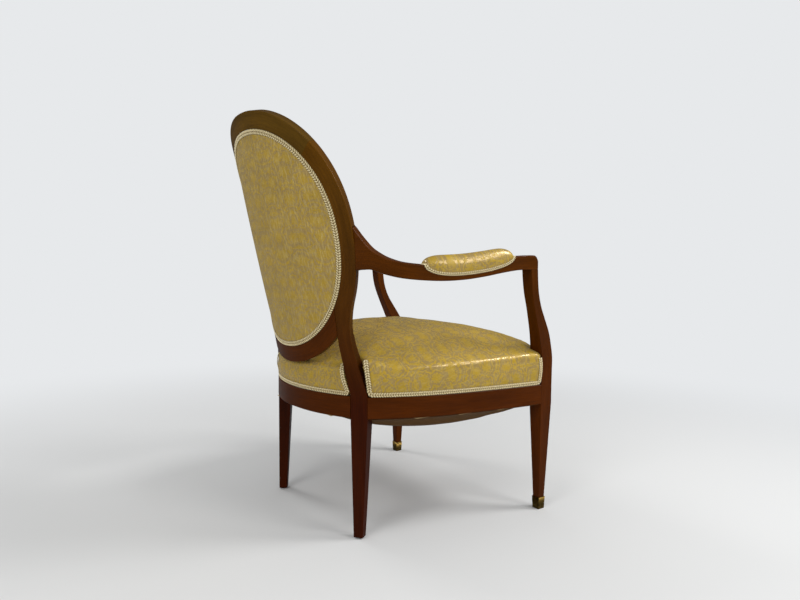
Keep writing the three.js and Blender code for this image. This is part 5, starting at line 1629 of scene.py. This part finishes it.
reach = np.concatenate([np.linspace(0.03, 0.9, 20), np.linspace(0.92, 1, 8)])
top = [cushion_ring(r, 0, cover_thickness, math.sqrt(1 - r**pad_swell_power)) for r in reach]
bottom = [cushion_ring(r, 0, fit, 0.0) for r in reach[::-1]]
rings = np.stack([*top, *bottom])
edge_near = cushion_ring(1.0, -0.0012, cover_thickness + 0.0006, 0.0)
edge_far = cushion_ring(1.0, arm_gimp_width - 0.0022, fit, 0.0)
edge_line = (edge_near + edge_far) / 2
edge_over = edge_line + cushion_ring(1.0, 0.002, 0.001 + fit, 0.0) - cushion_ring(1.0, 0.002, fit, 0.0)
for side_name, side in (("left", 1), ("right", -1)):
    parts = (rings, edge_line, edge_near, edge_over)
    points, line, near, over = (part * np.array([side, 1, 1]) for part in parts)
    cushion = skin(f"arm_pad_{side_name}_cover", points)
    rounded_net(cushion)
    held = points_of(cushion)
    cloth_places(
        cushion, np.column_stack([held[:, 1], held[:, 0] + held[:, 2] * np.sign(held[:, 0]), 0 * held[:, 0]])
    )
    settle(cushion, seat_damask, "damask", f"arm_pad_{side_name}")
    across, out = unit(line - near), unit(over - line)
    out = unit(out - across * (out * across).sum(axis=1, keepdims=True))
    braided(f"arm_gimp_{side_name}", line, across, out, arm_gimp_width)

# Bottom cloth
# A brown cotton cloth closes the seat below. It is tacked under the rails and has dropped with age.
cloth_sag, cloth_thickness, cloth_fold = 0.044, 0.0008, 0.0014
cloth_lowest_share = 0.45  # how far forwards from the rear rail it hangs lowest
cloth_taut_share = 0.85  # how much less it hangs at the front and rear rails
cloth_rows = np.array([
    [0, 0.3, 1, 0], [0.2, 1, 1, 0.15], [0.6, 1.8, 1, 0.58], [0.8, 1.8, 0.75, 0.9], [1, 1.8, 0.02, 1]
])
step = np.linspace(0, 1, 60)
inset, share, sag = through(cloth_rows, step).T
share = np.clip(share, 0.02, 1)
level = -rail_height - web_thickness - 3 * fit
rings = seat_rings(rail_thickness * inset, level + 0 * sag, share)
taut = ((ahead_share(rings[..., 1]) - cloth_lowest_share) / (1 - cloth_lowest_share)) ** 2
rings[..., 2] -= cloth_sag * sag[:, None] * (1 - cloth_taut_share * taut)
turn = np.arctan2(rings[..., 1] - middle_y, rings[..., 0])
folds = np.sin(turn * 7 + 0.6) + 0.6 * np.sin(turn * 16 + 2.0) + 0.5 * np.sin(turn * 29)
rings[..., 2] += cloth_fold * folds * np.sin(np.pi * np.clip(step * 1.25, 0, 1))[:, None] ** 2
bottom_cloth = cloth_solid("bottom_cloth_sheet", rings, cloth_thickness)
calico = woven_jute("brown_calico", "#6b491b", "#3f290f", 0.0016)
settle(bottom_cloth, calico, "bottom_cloth", "bottom_cloth")
